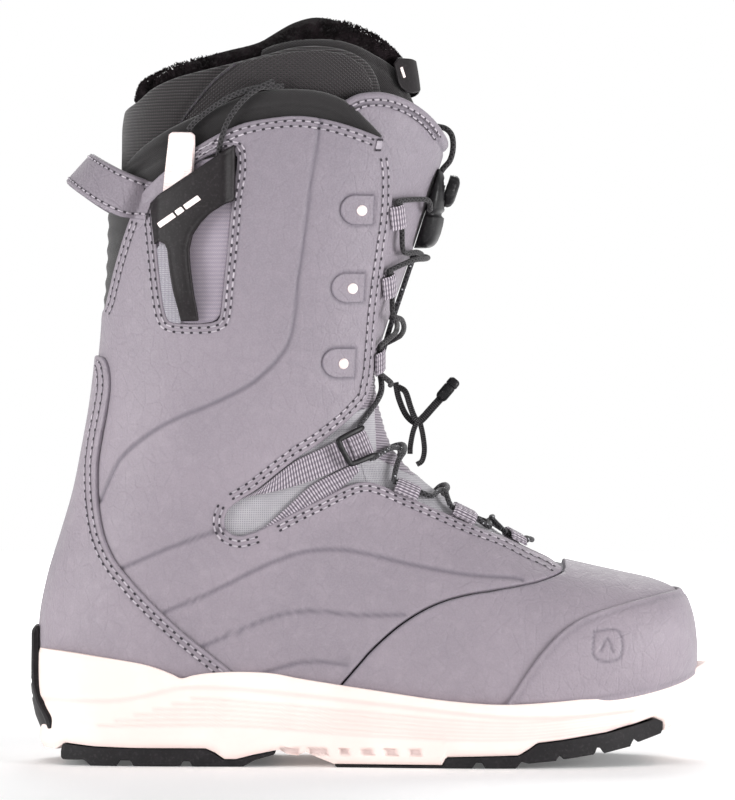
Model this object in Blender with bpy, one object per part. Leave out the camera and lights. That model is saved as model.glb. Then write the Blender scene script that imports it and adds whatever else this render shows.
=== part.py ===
"""Right snowboard boot: leather shell on a cup sole, soft liner, two-zone speed lacing.

Everything is drawn in millimetres in the side view (x to the toe, z up) and wrapped
onto one boot form: a fan of cross sections that swings from the toe round the heel
to the top of the shaft.  Lateral side is -y, medial side is +y.
"""
import math

import bmesh
import bpy
import numpy as np
from mathutils import Vector

# ---------------------------------------------------------------- driving sizes, mm
MM = 0.001
LIFT = 0.8            # the drawings' zero line lies this far above the floor
SHIFT = 0.9           # moves the drawings so that the boot is centred on x = 0
GAP = 0.3             # clearance between neighbouring pieces
LEATHER = 2.2         # thickness of the leather shell
OVERLAY = 1.5         # thickness of heel counter and toe cap
PAD = 2.8             # thickness of the tongue
LACE = 1.2            # lace radius
EYE = .3              # height of the webbing eyes' tunnels above the form
STEP = 18             # degrees between the columns of the faceted form
LATERAL, MEDIAL = -1, 1

# One row per section of the boot form: back point x z, front point x z, lateral and
# medial y, roundness at the back and at the front, where it is widest (0 back, 1 front).
SHELL = (
    (131, 24, 139, 37, -9, 27, 2.3, 2.3, .50),
    (122, 21, 138.6, 50, -24, 38, 3.0, 2.5, .40),
    (110, 19, 136.5, 63, -36, 46, 3.6, 2.6, .34),
    (97, 18, 132.0, 72, -44, 50, 4.0, 2.6, .30),
    (85, 17.5, 122.0, 77, -49, 51, 4.0, 2.5, .28),
    (72, 17, 107.0, 80.5, -52, 51, 4.0, 2.4, .27),
    (55, 17, 90.0, 84.5, -53.5, 50, 4.0, 2.3, .27),
    (35, 17.5, 73.0, 89, -53, 46.5, 4.0, 2.4, .27),
    (12, 18.5, 58.0, 98, -49.5, 42, 4.0, 2.6, .27),
    (-15, 20, 44.0, 107, -45.5, 38, 4.0, 2.7, .28),
    (-45, 21, 31.0, 116, -42, 36.5, 4.0, 2.8, .29),
    (-80, 22, 20.5, 124.5, -40.5, 37, 4.0, 2.8, .31),
    (-110, 23, 13.5, 132, -40, 38.5, 3.4, 2.8, .34),
    (-130, 27, 9.8, 139, -40.5, 39, 2.6, 2.9, .38),
    (-139.5, 40, 7.4, 147, -41, 39.5, 2.3, 3.0, .42),
    (-141, 58, 5.4, 155, -41.5, 40.5, 2.2, 3.1, .44),
    (-137.5, 78, 4.6, 163, -42, 41.5, 2.2, 3.1, .46),
    (-132, 96, 5.4, 170, -43, 42.5, 2.2, 3.0, .48),
    (-126.5, 115, 7.2, 178, -44, 43.5, 2.2, 2.8, .50),
    (-122.5, 135, 9.6, 186, -45, 44.5, 2.2, 2.7, .50),
    (-119.5, 152, 12.8, 196, -46, 45.5, 2.2, 2.6, .50),
    (-117.3, 170, 16.3, 206, -47, 46.5, 2.2, 2.5, .50),
    (-115.8, 188, 20.0, 217, -48, 47.5, 2.2, 2.4, .50),
    (-114.3, 206, 24.0, 229, -49, 48.5, 2.2, 2.3, .50),
    (-113.5, 224, 28.8, 243, -50, 49.5, 2.2, 2.2, .50),
    (-113.1, 242, 33.6, 257, -51, 50.5, 2.2, 2.2, .50),
    (-112.8, 256, 36.4, 267, -51.5, 51, 2.2, 2.2, .50),
    (-112.2, 272, 37.0, 280, -51, 50.5, 2.2, 2.2, .50),
    (-111.0, 290, 35.0, 297, -50, 49.5, 2.2, 2.2, .50),
)
# The liner follows the shell up to the ankle and leans away from the tongue above it.
LINER = SHELL[:22] + (
    (-115.8, 188, 18.5, 217, -48, 47.5, 2.2, 2.4, .50),
    (-114.3, 206, 22.0, 229, -49, 48.5, 2.2, 2.3, .50),
    (-113.5, 224, 25.0, 243, -50, 49.5, 2.2, 2.2, .50),
    (-113.1, 242, 27.5, 257, -50.5, 50, 2.2, 2.2, .50),
    (-112.8, 258, 28.6, 271, -50.5, 50, 2.2, 2.2, .50),
    (-112.4, 275, 28.0, 286, -49.5, 49, 2.2, 2.2, .50),
    (-110.5, 291, 26.0, 300, -48, 47.5, 2.2, 2.2, .50),
    (-107.0, 306, 22.5, 314, -46, 45.5, 2.2, 2.2, .50),
    (-103.0, 321, 18.0, 328, -44, 43.5, 2.2, 2.2, .50),
)
LINING_ROWS = (*range(17), 18, 20, 22, 24, 26)
LINER_ROWS = (*range(2, 17), 18, 20, 22, 24, 26, 27, 28, 29)
# Plan of the midsole's widest line, heel to toe: x, lateral y, medial y.
PLAN = (
    (-143.5, 0, 0), (-141.6, -16, 16), (-136, -27, 26.5), (-126, -35.5, 34.5),
    (-110, -41, 40), (-90, -43.5, 41), (-65, -45, 39.5), (-40, -46, 39),
    (-15, -48.5, 41), (10, -52.5, 45), (35, -56, 49.5), (55, -57, 53), (72, -55.5, 54.5),
    (88, -51.5, 54), (104, -44, 51), (118, -33.5, 45), (129, -21, 37), (137, -9, 29),
    (142, 1, 20), (144.3, 9.5, 9.5),
)

# ------------------------------------------------------------- side-view lines, mm
CUFF_TOP = ((-96, 243), (-88, 250), (-73, 261), (-56, 269.5), (-40, 272.7), (-28, 273.2),
            (-15, 271), (-3, 267.3), (5.5, 264))
CUFF_FRONT = ((7.5, 261), (9.3, 250), (8.9, 233), (7.2, 220), (5.2, 206), (3.2, 190),
              (2, 175), (.8, 163), (-1.5, 154))
NOTCH_TOP = ((-4, 150.5), (-12, 143), (-22, 135.3), (-31, 129.5), (-40, 122.6),
             (-49, 115.5), (-57, 110.5))
NOTCH_END = ((-60.5, 107.5), (-62, 103), (-60.8, 98.8), (-56, 96.4), (-49, 98))
THROAT = ((-40, 102.3), (-30, 107.5), (-20, 112.4), (-11, 117), (-3, 119.3), (4, 118),
          (14, 113.7), (28, 107.7), (42, 101.5), (57, 95.8), (68, 90.2), (76, 86.6),
          (81.5, 83))
SEAM = ((81, 81.8), (77, 80), (70, 77.7), (60, 75.7), (50, 74), (40, 72.3), (30, 69.5),
        (20, 64.8), (10, 58), (0, 49), (-7, 41), (-13, 34), (-19, 27))
COUNTER_FRONT = ((-116.5, 173), (-113, 171.6), (-111, 167), (-110.5, 159), (-112, 149),
                 (-114, 139), (-115.6, 128), (-115.7, 118), (-115, 108), (-113, 97),
                 (-109, 87.5), (-103, 79.5), (-93, 68.5), (-80, 56.2), (-68, 46.5),
                 (-59, 39.4), (-50, 32))
CAP_EDGE = ((55, 22), (57.5, 27), (61, 32.3), (65, 38.5), (70, 45.5), (75, 51.3),
            (80, 56), (86, 60.2), (92, 63), (100, 65.5), (110, 68), (120, 70.2),
            (132, 72.6), (142, 75))
REAR_EDGE = ((-119, 190), (-114.6, 193), (-112.3, 200), (-110, 209), (-106.6, 220),
             (-103, 230), (-98.6, 239.5))
COLLAR_TOP = ((-116, 249), (-110, 251.5), (-100, 260.5), (-90, 267), (-80, 271.8),
              (-68, 276.5), (-55, 281.7), (-42, 284.6), (-30, 285), (-19, 283.6),
              (-9, 279.6), (-1, 272.5), (6, 265.5))
LINER_RIM = ((-112, 279), (-104.5, 282.5), (-98, 287), (-88, 291), (-75, 294), (-60, 297.2),
             (-45, 300.8), (-32, 304), (-20, 304.7), (-8, 303), (1, 298.7), (6, 292),
             (8.2, 285))
TONGUE_RIM = ((-60, 297), (-47, 303.6), (-40, 306.3), (-30, 308.2), (-18, 308.8),
              (-7, 308), (3, 305.3), (12, 301), (18, 296.5), (21.5, 291.5), (24, 285))
FLEECE_RIM = ((-114, 279), (-104, 285.5), (-98, 290.5), (-88, 295), (-76, 298.4),
              (-64, 301.2), (-53, 303.4), (-46, 305.6), (-40, 309), (-32, 313),
              (-22, 315.6), (-12, 315), (-2, 312.6), (7, 308), (14, 302.6), (20, 296))
TONGUE_TOP = ((-22, 276), (-12, 279.6), (-5, 283), (2, 284.2), (9, 283.8), (18, 281),
              (26, 276.3), (32, 270.6), (38, 262))
SOLE_TOP = ((-150, 48), (-140, 48), (-128, 47), (-112, 44.8), (-98, 42.6), (-90, 40.4),
            (-84, 38), (-80, 36.4), (-75, 37.7), (-68, 38.7), (-56, 39.2), (-42, 38.6),
            (-30, 36.4), (-12, 33.6), (6, 31), (24, 28.4), (40, 26.8), (56, 26),
            (76, 27), (98, 29.2), (118, 32.7), (131, 36), (139, 39), (146, 42))
SOLE_BASE = ((-150, 6), (-136, 5.6), (-131, 8.6), (-118, 7.4), (-100, 6.9), (-70, 6.9),
             (-66, 5.2), (-62, 2.4), (-57, 2.4), (-50, 4.2), (-39, 6.4), (-36, 4.6),
             (-31, 4), (-28, 5.6), (-23, 3.4), (-16, .6), (30, .6), (31, 3.9), (62, 4.7),
             (66, 7), (70, 9.8), (80, 10.9), (100, 13.8), (114, 17.2), (121, 19.2),
             (125, 17.2), (126, 13), (130, 15), (135, 18.6), (140, 24.5), (146, 33))


def smooth(points, per=3):
    """More points along a smooth curve through the given ones."""
    p = np.asarray(points, float)
    return along(p, np.linspace(0, len(p) - 1, (len(p) - 1) * per + 1))


def along(table, t):
    """The table's values at fractional row numbers, joined by Catmull-Rom curves."""
    p = np.asarray(table, float)
    p = np.vstack([2 * p[0] - p[1], p, 2 * p[-1] - p[-2]])
    t = np.clip(np.asarray(t, float), 0, len(p) - 3)
    i = np.minimum(t.astype(int), len(p) - 4)
    f = (t - i)[..., None]
    a, b, c, d = p[i], p[i + 1], p[i + 2], p[i + 3]
    return b + f * ((c - a) + f * ((2 * a - 5 * b + 4 * c - d) + f * (3 * (b - c) + d - a))) / 2


def section(t, a, table):
    """Point of the section t at the angle a: 0 front, 90 medial, 180 back."""
    bx, bz, fx, fz, yl, ym, nb, nf, pk = np.moveaxis(along(table, t), -1, 0)
    c, s = np.cos(np.radians(a)), np.sin(np.radians(a))
    n = np.where(c < 0, nb, nf)
    q, w = np.abs(c) ** (2 / n), np.sign(s) * np.abs(s) ** (2 / n)
    u = np.where(c < 0, pk * (1 - q), pk + (1 - pk) * q)
    return np.stack([bx + (fx - bx) * u, (yl + ym) / 2 + (ym - yl) / 2 * w,
                     bz + (fz - bz) * u], -1)


def form(t, a, off=0.0, table=SHELL):
    """Point on the boot form, off millimetres outside it."""
    t, a = np.broadcast_arrays(np.asarray(t, float), np.asarray(a, float))
    dt = section(t + .01, a, table) - section(t - .01, a, table)
    da = section(t, a + .5, table) - section(t, a - .5, table)
    n = np.cross(da, dt)
    n /= np.maximum(np.linalg.norm(n, axis=-1, keepdims=True), 1e-9)
    return section(t, a, table) + n * np.broadcast_to(off, t.shape)[..., None]


def facet(t, a, off, table=SHELL):
    """The same point on the flat facets between whole rows and STEP columns."""
    t, a = np.asarray(t, float), np.asarray(a, float) / STEP
    i, j = np.clip(np.floor(t), 0, len(table) - 2), np.floor(a)
    f, g = (t - i)[..., None], (a - j)[..., None]
    p = [form(i + di, (j + dj) * STEP, off, table) for di in (0, 1) for dj in (0, 1)]
    return (p[0] * (1 - f) + p[2] * f) * (1 - g) + (p[1] * (1 - f) + p[3] * f) * g


def locate(x, z, side, table=SHELL):
    """Section and angle of the form's point that is seen at x, z from one side."""
    x, z = np.broadcast_arrays(np.asarray(x, float), np.asarray(z, float))
    lo, hi = np.zeros(x.shape), np.full(x.shape, len(table) - 1.0)
    for _ in range(40):
        t = (lo + hi) / 2
        r = along(table, t)
        ahead = (r[..., 2] - r[..., 0]) * (z - r[..., 1]) > (r[..., 3] - r[..., 1]) * (x - r[..., 0])
        lo, hi = np.where(ahead, t, lo), np.where(ahead, hi, t)
    bx, bz, fx, fz, _, _, nb, nf, pk = np.moveaxis(along(table, t), -1, 0)
    u = ((x - bx) * (fx - bx) + (z - bz) * (fz - bz)) / ((fx - bx) ** 2 + (fz - bz) ** 2)
    u = np.clip(u, 0, 1)
    c = np.where(u < pk, -np.clip(1 - u / pk, 0, 1) ** (nb / 2),
                 np.clip((u - pk) / (1 - pk), 0, 1) ** (nf / 2))
    return t, side * np.degrees(np.arccos(np.clip(c, -1, 1)))


def locate_front(y, z, table=SHELL):
    """Section and angle of the form's front point at y, z."""
    y, z = np.broadcast_arrays(np.asarray(y, float), np.asarray(z, float))
    lo, hi = np.full(y.shape, 4.0), np.full(y.shape, len(table) - 1.0)
    for _ in range(40):
        t = (lo + hi) / 2
        bx, bz, fx, fz, yl, ym, nb, nf, pk = np.moveaxis(along(table, t), -1, 0)
        w = np.clip((y - (yl + ym) / 2) / ((ym - yl) / 2), -1, 1)
        s = np.sign(w) * np.abs(w) ** (nf / 2)
        u = pk + (1 - pk) * np.sqrt(1 - s * s) ** (2 / nf)
        low = bz + (fz - bz) * u < z
        lo, hi = np.where(low, t, lo), np.where(low, hi, t)
    return t, np.degrees(np.arcsin(s))


def at(x, z, side, off):
    return facet(*locate(x, z, side), off)


def at_front(y, z, off):
    return facet(*locate_front(y, z), off)


# --------------------------------------------------------------------- mesh makers
def paint(name, rgb, rough, metal=0.0):
    m = bpy.data.materials.new(name)
    m.use_nodes = True
    p = m.node_tree.nodes["Principled BSDF"]
    p.inputs["Base Color"].default_value = (*rgb, 1)
    p.inputs["Roughness"].default_value = rough
    p.inputs["Metallic"].default_value = metal
    return m


def body(name, verts, faces, look, cutter=False):
    """A closed mesh object from points in drawing millimetres."""
    v = (np.asarray(verts, float).reshape(-1, 3) + (SHIFT, 0, LIFT)) * MM
    mesh = bpy.data.meshes.new(name)
    mesh.from_pydata(v.tolist(), [], faces)
    bm = bmesh.new()
    bm.from_mesh(mesh)
    bmesh.ops.recalc_face_normals(bm, faces=bm.faces)
    bm.to_mesh(mesh)
    bm.free()
    ob = bpy.data.objects.new(name, mesh)
    bpy.context.collection.objects.link(ob)
    if cutter:
        ob.hide_render, ob.display_type = True, "WIRE"
    else:
        mesh.materials.append(look)
        mesh.shade_smooth()
        mesh.set_sharp_from_angle(angle=math.radians(35))
    return ob


def sandwich(name, outer, inner, look, ring=False, cutter=False):
    """Closed solid between two grids of points; a ring closes on itself sideways."""
    rows, cols = outer.shape[:2]
    n, faces = rows * cols, []
    for i in range(rows - 1):
        for j in range(cols if ring else cols - 1):
            a, b = i * cols + j, i * cols + (j + 1) % cols
            faces += [(a, b, b + cols, a + cols), (n + a + cols, n + b + cols, n + b, n + a)]
    edges = []
    for j in range(cols if ring else cols - 1):
        k = (j + 1) % cols
        edges += [(k, j), ((rows - 1) * cols + j, (rows - 1) * cols + k)]
    if not ring:
        for i in range(rows - 1):
            edges += [(i * cols, (i + 1) * cols),
                      ((i + 1) * cols + cols - 1, i * cols + cols - 1)]
    faces += [(a, b, n + b, n + a) for a, b in edges]
    return body(name, np.concatenate([outer.reshape(-1, 3), inner.reshape(-1, 3)]), faces,
                look, cutter)


def skin(name, rows, angles, out, into, look, table=SHELL, cutter=False):
    """A layer of the boot between two offsets, which may depend on row and angle."""
    ring = angles[1] - angles[0] == 360
    t = np.arange(rows[0], rows[1] + 1, dtype=float) if len(rows) == 2 else np.array(rows, float)
    a = np.arange(angles[0], angles[1] + (0 if ring else STEP), STEP, dtype=float)
    t, a = np.meshgrid(t, a, indexing="ij")
    offs = [o(t, a) if callable(o) else o for o in (out, into)]
    return sandwich(name, form(t, a, offs[0], table), form(t, a, offs[1], table), look, ring,
                    cutter)


def bulk(rows, out):
    """Cutter: the whole form between two rows, closed at both ends."""
    t = np.arange(rows[0], rows[1] + 1, dtype=float)
    t, a = np.meshgrid(t, np.arange(0, 360, STEP, dtype=float), indexing="ij")
    grid = form(t, a, out(t, a))
    n, cols = grid.shape[0] * grid.shape[1], grid.shape[1]
    faces = [(i * cols + j, i * cols + (j + 1) % cols, (i + 1) * cols + (j + 1) % cols,
              (i + 1) * cols + j) for i in range(grid.shape[0] - 1) for j in range(cols)]
    for k, row in ((n, 0), (n + 1, n - cols)):
        faces += [(row + j, row + (j + 1) % cols, k) for j in range(cols)]
    ends = [grid[0].mean(0), grid[-1].mean(0)]
    return body("cutter", np.vstack([grid.reshape(-1, 3), ends]), faces, None, True)


def prism(outline, y0, y1):
    """Cutter: a side-view outline pulled from y0 to y1."""
    p = np.asarray(outline, float)
    n = len(p)
    verts = [(x, y, z) for y in (y0, y1) for x, z in p]
    faces = [tuple(range(n)), tuple(range(2 * n - 1, n - 1, -1))]
    faces += [(i, (i + 1) % n, n + (i + 1) % n, n + i) for i in range(n)]
    return body("cutter", verts, faces, None, True)


def trim(ob, cutter, keep):
    m = ob.modifiers.new("trim", "BOOLEAN")
    m.object, m.operation, m.solver = cutter, "INTERSECT" if keep else "DIFFERENCE", "EXACT"
    return ob


def reach(side, far=90, near=.15):
    """Cutter range in y for one side of the boot, clear of the middle plane."""
    return sorted((side * near, side * far))


def chain(*parts):
    """One outline from several runs of points."""
    return np.vstack([np.asarray(p, float).reshape(-1, 2) for p in parts])


def patch(name, edge_a, edge_b, side, out, into, look, across=2):
    """A flat piece laid on the form between two side-view edges of equal point count."""
    a, b = np.asarray(edge_a, float), np.asarray(edge_b, float)
    v = np.linspace(0, 1, across + 1)[None, :, None]
    p = a[:, None] * (1 - v) + b[:, None] * v
    return sandwich(name, at(p[..., 0], p[..., 1], side, out),
                    at(p[..., 0], p[..., 1], side, into), look)


def tube(name, points, radius, look, count):
    """A cord along a smooth curve through its route's points."""
    p = smooth(points, 8)
    d = np.concatenate([[0], np.cumsum(np.linalg.norm(np.diff(p, axis=0), axis=1))])
    s = np.linspace(0, d[-1], count)
    p = np.stack([np.interp(s, d, p[:, k]) for k in range(3)], -1)
    cu = bpy.data.curves.new(name, "CURVE")
    cu.dimensions, cu.bevel_depth, cu.bevel_resolution = "3D", radius * MM, 2
    cu.use_fill_caps = True
    sp = cu.splines.new("POLY")
    sp.points.add(len(p) - 1)
    for q, xyz in zip(sp.points, (p + (SHIFT, 0, LIFT)) * MM):
        q.co = (*xyz, 1)
    cu.materials.append(look)
    ob = bpy.data.objects.new(name, cu)
    bpy.context.collection.objects.link(ob)
    return ob


def frame_at(t, a, off=0.0):
    """Point, outward normal and upward tangent of the form."""
    p = form(t, a, off)
    n = form(t, a, off + 1) - p
    up = form(t + .2, a, off) - p
    up -= n * up.dot(n)
    return p, n, up / np.linalg.norm(up)


def eye_frame(spec, side):
    """Centre, tunnel direction, forward and outward directions of a webbing eye."""
    x, z, lean, _, back, clear = spec
    t, a0 = locate(x, z, side)
    start, a = form(t, a0, EYE), a0
    while np.linalg.norm(form(t, a, EYE) - start) < back + clear:
        a = a - side * .25
    p, n, _ = frame_at(t, a, EYE)
    q = form(*locate(x + .5 * lean[0], z + .5 * lean[1], side), EYE) - start
    e = q - n * q.dot(n)
    e /= np.linalg.norm(e)
    f = np.cross(n, e)
    f *= np.sign(f.dot(p - start))
    return p, e, f, n, (float(t), float(a))


def eyelet(name, spec, side, look):
    """Webbing loop: a flat eye, open along its own length for the lace."""
    p, e, f, n, _ = eye_frame(spec, side)
    length, back = spec[3:5]
    rim = [(-back, -2.6), (1.9, -2.6), (3.1, -1.6), (3.3, 0), (3.1, 1.6), (1.9, 2.6),
           (-back, 2.6)]
    hole = [(-1.9, -1.4), (1.2, -1.6), (1.9, -.8), (2, 0), (1.9, .8), (1.2, 1.6), (-1.9, 1.4)]
    ends = []
    for s in (-.5, .5):
        for ring in (rim, hole):
            ends += [p + e * s * length + f * u + n * v for u, v in ring]
    k, faces = len(rim), []
    for i in range(k):
        j = (i + 1) % k
        faces += [(i, j, 2 * k + j, 2 * k + i), (k + j, k + i, 3 * k + i, 3 * k + j),
                  (i, k + i, k + j, j), (2 * k + j, 3 * k + j, 3 * k + i, 2 * k + i)]
    eye = body(name, ends, faces, look)
    if not name.startswith("ankle"):
        trim(eye, prism(quarter_outline(GAP + .05), *reach(side)), False)
    return eye


def disc(name, centre, axis, profile, look, sides=12):
    """A turned piece: profile of (radius, height) pairs along its axis."""
    axis = Vector(axis).normalized()
    turn = axis.to_track_quat("Z", "Y").to_matrix()
    verts, faces = [], []
    for r, h in profile:
        for k in range(sides):
            w = 2 * math.pi * k / sides
            verts.append(Vector(centre) + turn @ Vector((r * math.cos(w), r * math.sin(w), h)))
    for i in range(len(profile) - 1):
        for k in range(sides):
            j = (k + 1) % sides
            faces.append((i * sides + k, i * sides + j, (i + 1) * sides + j, (i + 1) * sides + k))
    faces += [tuple(range(sides)), tuple(range(len(verts) - sides, len(verts)))]
    return body(name, [tuple(v) for v in verts], faces, look)


def plan_loop(inset, stations=26):
    """Closed plan outline of the sole, medial side first, moved inward by inset."""
    s = np.linspace(0, 1, stations + 1)
    s = s - .09 * np.sin(4 * np.pi * s) / (2 * np.pi) * 2
    p = along(PLAN, s * (len(PLAN) - 1))
    loop = np.vstack([p[:, [0, 2]], p[-2:0:-1][:, [0, 1]]])
    d = np.roll(loop, -1, 0) - np.roll(loop, 1, 0)
    n = np.stack([-d[:, 1], d[:, 0]], -1)
    n /= np.linalg.norm(n, axis=1, keepdims=True)
    return loop - n * inset


def sole_block(name, levels, look):
    """Loft of plan loops; levels are (inset, height for each loop point)."""
    loops = []
    for inset, height in levels:
        xy = plan_loop(inset)
        loops.append(np.column_stack([xy, height(xy[:, 0]) if callable(height)
                                      else np.full(len(xy), height)]))
    n, faces = len(loops[0]), []
    for k in range(len(loops) - 1):
        faces += [(k * n + i, k * n + (i + 1) % n, (k + 1) * n + (i + 1) % n, (k + 1) * n + i)
                  for i in range(n)]
    for base in (0, (len(loops) - 1) * n):
        faces += [(base + i, base + i + 1, base + (n - i - 1) % n, base + (n - i) % n)
                  for i in range(1, n // 2 - 1)]
        faces += [(base, base + 1, base + n - 1),
                  (base + n // 2, base + n // 2 + 1, base + n // 2 - 1)]
    return body(name, np.concatenate(loops), faces, look)


def line(points):
    p = smooth(points, 4)
    return lambda x: np.interp(x, p[:, 0], p[:, 1])


# --------------------------------------------------------------------------- build
for ob in list(bpy.data.objects):
    bpy.data.objects.remove(ob, do_unlink=True)

GREY = paint("grey leather", (.32, .27, .31), .55)
RUBBER = paint("black rubber", (.025, .022, .024), .6)
FOAM = paint("pale midsole foam", (.86, .76, .73), .6)
CLOTH = paint("light grey cloth", (.5, .5, .51), .9)
NEOPRENE = paint("black neoprene", (.03, .026, .028), .85)
MESH = paint("black mesh", (.035, .03, .032), .9)
FLEECE = paint("dark fleece", (.04, .038, .038), 1.0)
WEB = paint("pale webbing", (.55, .5, .52), .85)
PLASTIC = paint("black plastic", (.02, .02, .022), .4)
PALE = paint("pale plastic", (.85, .78, .78), .45)
CORD = paint("black cord", (.02, .02, .02), .8)
STEEL = paint("spring steel", (.5, .5, .5), .3, 1.0)
BOARD = paint("board", (.25, .2, .15), .8)


def build_sole():
    top, base = line(SOLE_TOP), lambda x: np.interp(x, *np.array(SOLE_BASE).T)
    mid = lambda f: (lambda x: base(x) + (top(x) - base(x)) * f)
    midsole = sole_block("midsole", ((2.6, mid(-.12)), (.9, mid(.15)), (0, mid(.4)),
                                     (.4, mid(.8)), (1.4, top)), FOAM)
    trim(midsole, prism(chain(SOLE_BASE, ((160, 33), (160, -20), (-160, -20), (-160, 6))),
                        -90, 90), False)

    def cavity(t, a):
        x = section(t, a, SHELL)[..., 0]
        over = OVERLAY + 3 * GAP
        return np.where((x < -25) | (x > 30), over, GAP)

    trim(midsole, bulk((0, 18), cavity), False)
    # Black heel bumper: a curved plate on the back of the heel, wide at its foot.
    heights = np.array([5.4, 8, 11, 15, 19, 25, 32, 40, 48, 54, 57.5])
    inner = np.interp(heights, [4, 7, 11, 15, 19, 25, 48, 57.5],
                      [-135.2, -136.6, -138.4, -140.2, -141.6, -142.9, -143.7, -143.3])
    outer = np.interp(heights, [4, 7, 11, 15, 19, 25, 32, 54, 57.5],
                      [-136.6, -139, -141.2, -143, -144.6, -145.9, -146.5, -146.1, -144.5])
    half = np.interp(heights, [4, 11, 19, 25, 32, 40, 57.5], [15, 24, 26, 20, 15, 12, 11])
    v = np.linspace(-1, 1, 9)
    y = half[:, None] * v[None]

    def face(x0):
        return np.stack([x0[:, None] + .0103 * y * y, y, np.broadcast_to(heights[:, None], y.shape)],
                        -1)
    sandwich("heel_bumper", face(outer), face(inner), RUBBER)
    cut = sandwich("cutter", face(outer - 6), face(inner + GAP), None, cutter=True)
    trim(midsole, cut, False)

    # Two treads, each a slab of the plan shape cut to its side outline with lug grooves.
    for name, outline in (("heel_outsole", HEEL_TREAD), ("forefoot_outsole", FORE_TREAD)):
        slab = sole_block(name, ((2.4, -.8), (1.9, 3), (1.6, 24)), RUBBER)
        trim(slab, prism(outline, -80, 80), True)

    skin("lasting_board", (1, 12), (144, 216), -GAP, -2.3, BOARD)
    skin("footbed", (2, 4, 6, 8, 10, 12), (144, 216), -11.6, -14.9, CLOTH)


HEEL_TREAD = ((-131, 8.2), (-118, 7.0), (-100, 6.5), (-70, 6.5), (-66.4, 4.9), (-62.2, 2),
              (-57, 2), (-50, 3.8), (-39.5, 6), (-41, 4.2), (-49, 2), (-54, -.8),
              (-75.5, -.8), (-76.5, 1.4), (-79.5, 1.4), (-80.5, -.8), (-100.5, -.8),
              (-101.5, 1.6), (-106.5, 1.6), (-107.5, -.8), (-119, -.8), (-121.5, 1.6),
              (-127, 1.4), (-131, 1.4), (-132, 3))
FORE_TREAD = ((-15.6, .2), (30.4, .2), (31, 3.5), (62, 4.3), (65.8, 6.5), (70, 9.4),
              (80, 10.5), (100, 13.4), (114, 16.8), (121, 18.7), (124.3, 17),
              (124.6, 15.4), (123.4, 12.2), (113, 9), (111, 10.6), (109.6, 7.4), (98, 4.9),
              (96.6, 7.4), (95, 7.4), (94.2, 4.6), (81, 2.8), (79, 4.6), (77.8, 2.2),
              (66, 1.2), (63, 2), (61, -.8), (48, -.8), (46.5, 1.6), (44, 1.6), (42.5, -.8),
              (-14.4, -.8))


def quarter_outline(grow=0.0):
    """Side view of one quarter; a grown copy clears what touches its front edges."""
    low = ((-30, 27), (-100, 30), (-125, 33), (-150, 39))
    cuff, throat = np.array(smooth(CUFF_FRONT, 1)) + (grow, 0), np.array(smooth(THROAT, 1))
    return chain(smooth(CUFF_TOP, 2), cuff, smooth(NOTCH_TOP, 1), smooth(NOTCH_END, 2),
                 throat + (0, grow), smooth(SEAM, 1), low, ((-150, 190),), REAR_EDGE)


def build_upper():
    skin("shell_lining", LINING_ROWS, (0, 360), -LEATHER - .8, -LEATHER - 2.0, CLOTH)
    lining = bpy.data.objects["shell_lining"]
    back_of_tongue = chain(((-20, 330), (-2.6, 262), (-1, 250), (-1.4, 233), (-4.2, 210),
                            (-7.6, 180), (-9, 163), (-12, 153)),
                           ((-6, 135), (0, 119), (8, 108)), ((28, 99), (44, 92), (60, 86.5),
                                                             (70, 82)), ((150, 82), (150, 330)))
    trim(lining, prism(back_of_tongue, -80, 80), False)
    collar_base = chain(((-130, 238), (-100, 246)), ((-88, 252), (-60, 258), (-30, 261), (0, 253)),
                        ((60, 253), (60, 330), (-130, 330)))
    trim(lining, prism(collar_base, -80, 80), False)

    for side, name in ((LATERAL, "lateral"), (MEDIAL, "medial")):
        first = 180 if side == LATERAL else 0
        q = skin("quarter_" + name, (4, 28), (first, first + 180), 0, -LEATHER, GREY)
        trim(q, prism(quarter_outline(), *reach(side)), True)
        trim(q, prism(pocket_outline(0), *reach(side)), False)

    vamp = skin("vamp", (0, 12), (-126, 126), 0, -LEATHER, GREY)
    seam = smooth(SEAM[::-1], 2) + (.25, -.3)
    trim(vamp, prism(chain(((-20, 21),), seam, ((82.2, 83.2), (82.2, 130), (160, 130), (160, 32),
                                                (136, 32), (120, 25.5), (100, 23), (50, 21))),
                     -80, 80), True)
    cap = skin("toe_cap", (0, 8), (-126, 126), OVERLAY + GAP, GAP + .3, GREY)
    trim(cap, prism(chain(smooth(CAP_EDGE, 1), ((160, 75), (160, 33), (136, 33), (120, 26.5),
                                                (100, 24), (60, 22))), -80, 80), True)
    counter = skin("heel_counter", (8, 22), (90, 270), OVERLAY + GAP, GAP + .15, GREY)
    foot = ((-60, 34.5), (-100, 37.5), (-118, 45), (-160, 45))
    trim(counter, prism(chain(((-160, 173),), smooth(COUNTER_FRONT, 1), foot), -80, 80), True)
    gusset = skin("rear_gusset", (19, 25), (126, 234), -.4, -LEATHER, NEOPRENE)
    rear = np.array(REAR_EDGE[1:]) + (-.35, .1)
    trim(gusset, prism(chain(((-130, 191.5), (-117.4, 191.5)), rear, ((-103, 243), (-130, 237))),
                       -80, 80), True)
    collar = skin("collar_padding", (22, 28), (54, 306), -LEATHER - .4, -LEATHER - 2.6, NEOPRENE)
    trim(collar, prism(chain(((-130, 238.4), (-100, 246.4), (-88, 252.4), (-60, 258.4),
                              (-30, 261.4), (-6, 255.2)), ((-3, 262), (-.4, 262), (-.4, 272)),
                             smooth(COLLAR_TOP[-2::-1], 2), ((-130, 249),)), -80, 80), True)
    build_pull_loop()


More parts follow.
